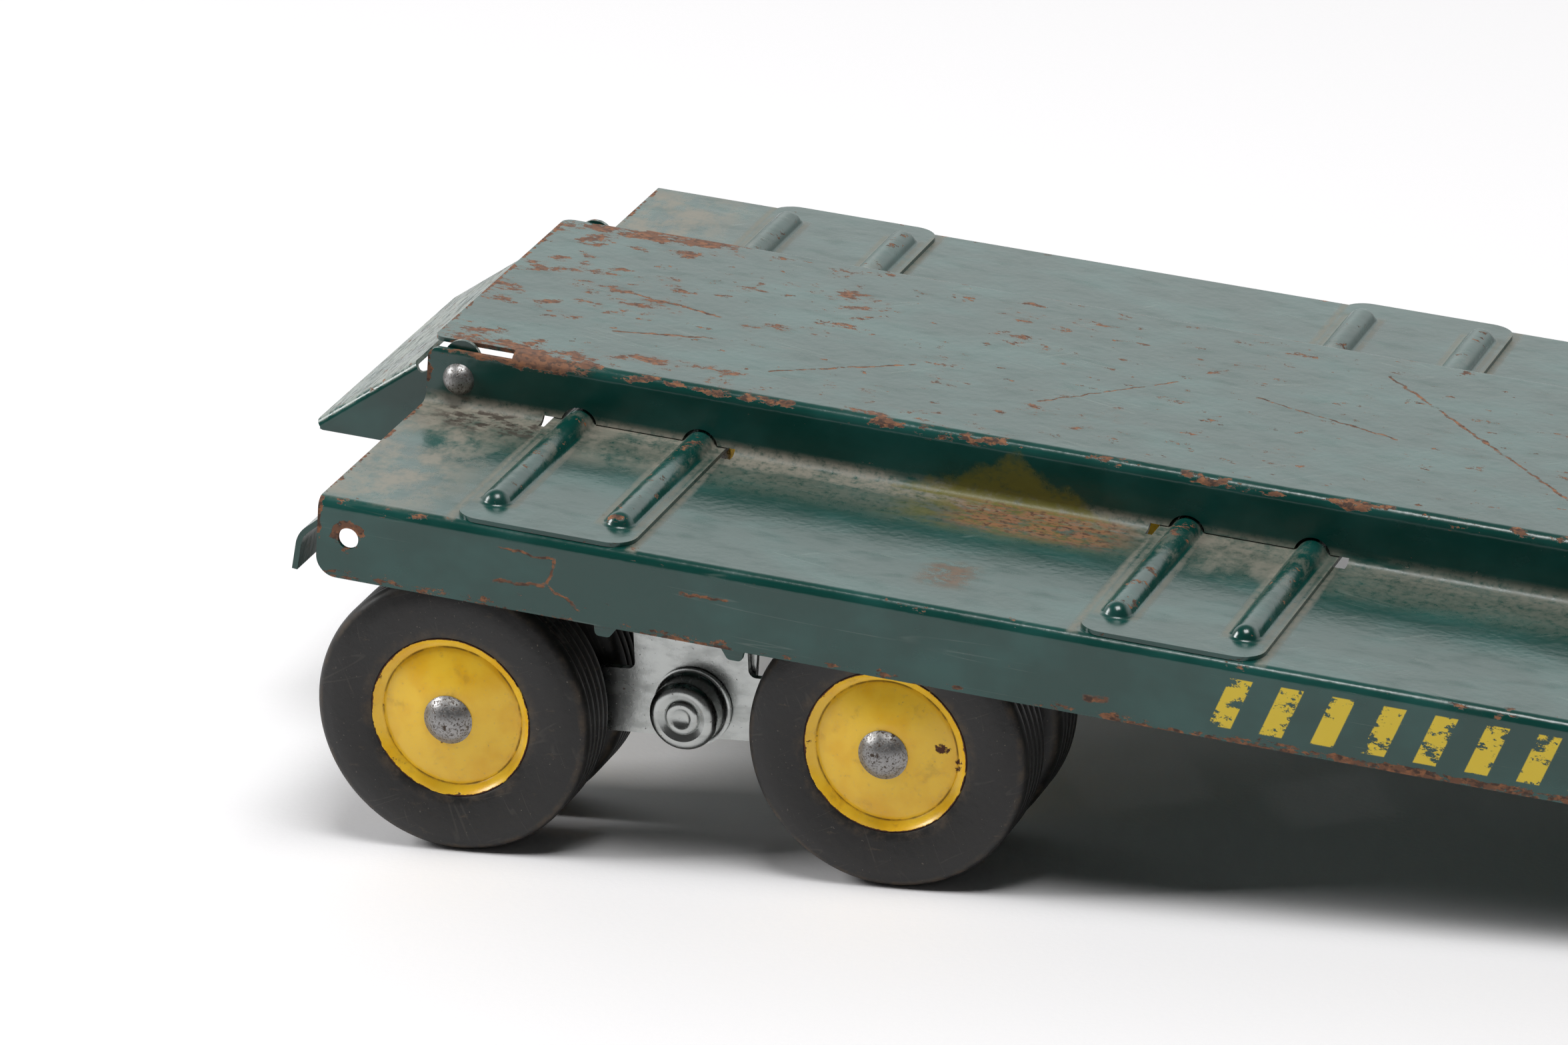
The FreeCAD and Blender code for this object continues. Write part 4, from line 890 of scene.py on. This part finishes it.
# ---- sub-assemblies ----
@dataclass
class Wheelset:
    """One axle of a bogie: two tyres, two hubs and the domed axle through them."""

    side: Side
    end: End
    tyre_radius: float = 35.0
    tyre_width: float = 19.0
    shoulder: float = 3.4
    groove_width: float = 1.1
    groove_depth: float = 1.0
    grooves: int = 4
    hub_radius: float = 20.4
    crease_radius: float = 17.8
    hub_flat: float = 7.0
    crown: float = 0.7
    crease_depth: float = 2.2
    sheet: float = 0.9
    face_in: float = 2.7
    dual_step: float = 27.5

    @property
    def body(self) -> str:
        """The frame body that turns on this axle."""
        return f"wheelset_{self.side.label}_{self.end.label}"

    def centre(self, depth: float) -> Vector:
        """The axle's point at a depth in from the outer wheel's face, in metres."""
        return Vector((DECK_SHIFT + self.end.value * HALF_WHEELBASE,
                       self.side.value * (HALF_WIDTH - self.face_in - depth),
                       PIVOT_HEIGHT)) * MM

    def tyre_outline(self) -> list[tuple[float, float]]:
        """The tyre's cross-section.

        Returns:
            A closed outline of (depth, radius) points.
        """
        width, top, bead = self.tyre_width, self.tyre_radius, self.hub_radius + 0.1
        shoulder, lip = top - self.shoulder * 0.8, 0.3
        middle = (bead + top) / 2
        front = [(2.9, bead), (lip + 0.35, bead), (lip, bead + 0.4)]
        front += bow((lip, bead + 0.4), (-0.45, middle), (lip, shoulder), 8)[1:]
        front += bow((lip, shoulder), (lip + self.shoulder * 0.28, top - self.shoulder * 0.25),
                     (self.shoulder, top), 6)[1:]
        tread = []
        pitch = (width - 2 * self.shoulder) / self.grooves
        for i in range(self.grooves):
            at = self.shoulder + pitch * (i + 0.5)
            half, low = self.groove_width / 2, top - self.groove_depth
            tread += [(at - half - 0.25, top), (at - half, top - 0.15), (at - half + 0.2, low),
                      (at + half - 0.2, low), (at + half, top - 0.15), (at + half + 0.25, top)]
        back = [(width - depth, radius) for depth, radius in reversed(front)]
        return front + tread + back + [front[0]]

    def hub_outline(self) -> list[tuple[float, float]]:
        """A hub's cross-section: two crowned faces with rolled rims, on a sleeve.

        Returns:
            A closed outline of (depth, radius) points.
        """
        crown, crease, rim, wall = -self.crown, self.crease_radius, self.hub_radius, self.sheet
        low, flat = self.crease_depth, self.hub_flat
        swell = (low + crown) / 2 - 0.25
        face = [(crown, 2.6), (crown, flat)]
        face += bow((crown, flat), (swell, (flat + crease) / 2), (low - 0.2, crease - 0.2), 10)[1:]
        face += [(low, crease), (low - 0.25, crease + 0.22)]
        face += bow((low - 0.25, crease + 0.22), (1.35, 19.1), (0.62, rim - 0.45), 6)[1:]
        face += [(0.46, rim - 0.25), (0.5, rim - 0.08), (0.7, rim), (1.9, rim), (1.9, rim - 0.5),
                 (low + wall, crease), (crown + wall, flat), (crown + wall, 4.4)]
        back = [(self.tyre_width - depth, radius) for depth, radius in reversed(face)]
        return face + back + [face[0]]

    def axle_outline(self) -> list[tuple[float, float]]:
        """The axle's cross-section: domed head, shank and set tail.

        Returns:
            An open outline of (depth, radius) points, from the head's crown to the tail's.
        """
        head_r, head_h, tail_r, tail_h = 6.2, 3.4, 4.7, 3.0
        foot = -self.crown
        end = self.dual_step + self.tyre_width + self.crown
        ball = (head_r ** 2 + head_h ** 2) / (2 * head_h)
        spread = math.asin(head_r / ball)
        head = [(foot - head_h + ball * (1 - math.cos(a)), ball * math.sin(a))
                for a in (spread * i / 12 for i in range(12))]
        tail = [(end + tail_h * math.cos(a), tail_r * math.sin(a))
                for a in (math.pi / 2 * (1 - i / 8) for i in range(9))]
        return head + [(foot - 0.25, head_r), (foot, head_r - 0.1), (foot, 2.5), (end, 2.5)] + tail

    def build(self, spinner: Spinner, finishes: Mapping[str, bpy.types.Material]) -> None:
        """Builds and dresses the wheelset.

        Args:
            spinner: the tree that turns outlines.
            finishes: materials by slot.
        """
        tag = f"{self.side.label}_{self.end.label}"
        seed = 10.0 * self.side.value + 3.0 * self.end.value
        for row, depth in (("outer", 0.0), ("inner", self.dual_step)):
            seed += 1.7
            tyre = spinner.spin(f"ribbed_tyre_{tag}_{row}", self.tyre_outline(),
                                self.centre(depth), self.side, finishes["tyre_rubber"],
                                160, 0.14, 16, seed)
            self.fit(tyre, f"tyre_{tag}_{row}")
            hub = spinner.spin(f"dished_hub_{tag}_{row}", self.hub_outline(),
                               self.centre(depth), self.side, finishes["yellow_enamel"],
                               128, 0.03, 9, seed)
            self.fit(hub, f"hub_{tag}_{row}")
        axle = spinner.spin(f"domed_axle_{tag}", self.axle_outline(), self.centre(0.0),
                            self.side, finishes["rivet_steel"], 72, 0.05, 3, seed)
        self.fit(axle, f"wheel_axle_{tag}")

    def fit(self, piece: bpy.types.Object, node: str) -> None:
        """Puts a piece on this wheelset in place of its CAD node."""
        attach(piece, self.body)
        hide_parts(node)
        LOG.info("%s in place of %s", piece.name, node)


@dataclass
class Studio:
    """The pale floor, the soft lights and the camera."""

    lens: float = 206.25
    eye: tuple[float, float, float] = (0.43304, -2.00190, 0.81201)
    look: tuple[float, float, float] = (-0.31541, 0.88619, -0.33938)
    roll: float = 2.73
    floor_half: float = 14.0

    def build(self) -> None:
        """Builds the floor, the lights and the camera."""
        self.floor()
        self.surroundings()
        self.lamp("top_softbox", (0.2, -0.5, 3.0), (1.3, 1.3), 66)
        self.lamp("left_softbox", (-2.3, -0.5, 1.5), (0.8, 0.8), 36)
        self.camera()

    def floor(self) -> None:
        """Lays the sheet of white paper that everything stands on."""
        half = self.floor_half
        mesh = bpy.data.meshes.new("paper_floor")
        mesh.from_pydata([(-half, -half, 0), (half, -half, 0), (half, half, 0), (-half, half, 0)],
                         [], [(0, 1, 2, 3)])
        sheet = bpy.data.objects.new("paper_floor", mesh)
        sheet.data.materials.append(FloorPaper().build())
        bpy.context.scene.collection.objects.link(sheet)

    def surroundings(self) -> None:
        """Pale surroundings, brightest low down behind the trailer."""
        world = bpy.data.worlds.new("studio")
        bpy.context.scene.world = world
        world.use_nodes = True
        tree = world.node_tree
        way = add(tree, SPLIT, {0: add(tree, "ShaderNodeTexCoord").outputs["Generated"]})
        behind = add(tree, RANGE, {"Value": way.outputs[1], "From Min": 0.0, "From Max": 0.5,
                                   "To Min": 0.08, "To Max": 1.4},
                     interpolation_type="SMOOTHSTEP")
        high = add(tree, RANGE, {"Value": way.outputs[2], "From Min": 0.5, "From Max": 0.75,
                                 "To Min": 1.0, "To Max": 0.15})
        low = add(tree, RANGE, {"Value": way.outputs[2], "From Min": 0.08, "From Max": 0.3,
                                "To Min": 0.45, "To Max": 1.0})
        glow = meeting(tree, behind, high, low)
        tree.links.new(glow.outputs[0], tree.nodes["Background"].inputs["Strength"])
        tree.nodes["Background"].inputs["Color"].default_value = (1, 1, 1, 1)

    def lamp(self, name: str, place: tuple[float, float, float], size: tuple[float, float],
             power: float) -> None:
        """Hangs one softbox, turned to the bogies.

        Args:
            name: its name.
            place: where it hangs, in metres.
            size: its width and height, in metres.
            power: its power in watts.
        """
        light = bpy.data.lights.new(name, "AREA")
        light.shape = "RECTANGLE"
        light.size, light.size_y = size
        light.energy = power
        holder = bpy.data.objects.new(name, light)
        bpy.context.scene.collection.objects.link(holder)
        holder.location = place
        aim = Vector((-0.1, 0.0, 0.05)) - Vector(place)
        holder.rotation_euler = aim.to_track_quat("-Z", "Y").to_euler()

    def camera(self) -> None:
        """Sets up the camera, with its small roll."""
        data = bpy.data.cameras.new("camera")
        data.lens = self.lens
        data.sensor_width = 36.0
        data.clip_end = 100.0
        holder = bpy.data.objects.new("camera", data)
        bpy.context.scene.collection.objects.link(holder)
        ahead = Vector(self.look).normalized()
        level = ahead.cross(Vector((0, 0, 1))).normalized()
        upright = level.cross(ahead)
        turn = math.radians(self.roll)
        right = level * math.cos(turn) - upright * math.sin(turn)
        above = right.cross(ahead)
        matrix = Matrix((right, above, -ahead)).transposed().to_4x4()
        matrix.translation = Vector(self.eye)
        holder.matrix_world = matrix
        bpy.context.scene.camera = holder


def dress(finishes: Mapping[str, bpy.types.Material]) -> None:
    """Gives every CAD node the finish of its slot, and the ramp its own.

    Args:
        finishes: materials by slot, with one for each node that has its own.
    """
    for name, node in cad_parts.items():
        slots = node.data.materials
        for i, old in enumerate(slots):
            slot = name if name in finishes else next(
                (slot for slot in finishes if old and slot in old.name), None)
            if slot:
                slots[i] = finishes[slot]
        LOG.info("%s: %s", name, [m.name for m in slots if m])


def main() -> None:
    """Builds the looks piece by piece."""
    logging.basicConfig(level=logging.INFO, format="%(message)s")
    bpy.context.scene.view_settings.view_transform = "Standard"
    finishes = {"green_enamel": GreenEnamel().build(), "yellow_enamel": YellowEnamel().build(),
                "zinc_plate": ZincPlate().build(), "rivet_steel": RivetSteel().build(),
                "tyre_rubber": TyreRubber().build(), "ramp": RampEnamel().build()}
    dress(finishes)
    spinner = Spinner()
    for side in Side:
        for end in End:
            Wheelset(side, end).build(spinner, finishes)
    Studio().build()


if __name__ == "__main__":
    main()
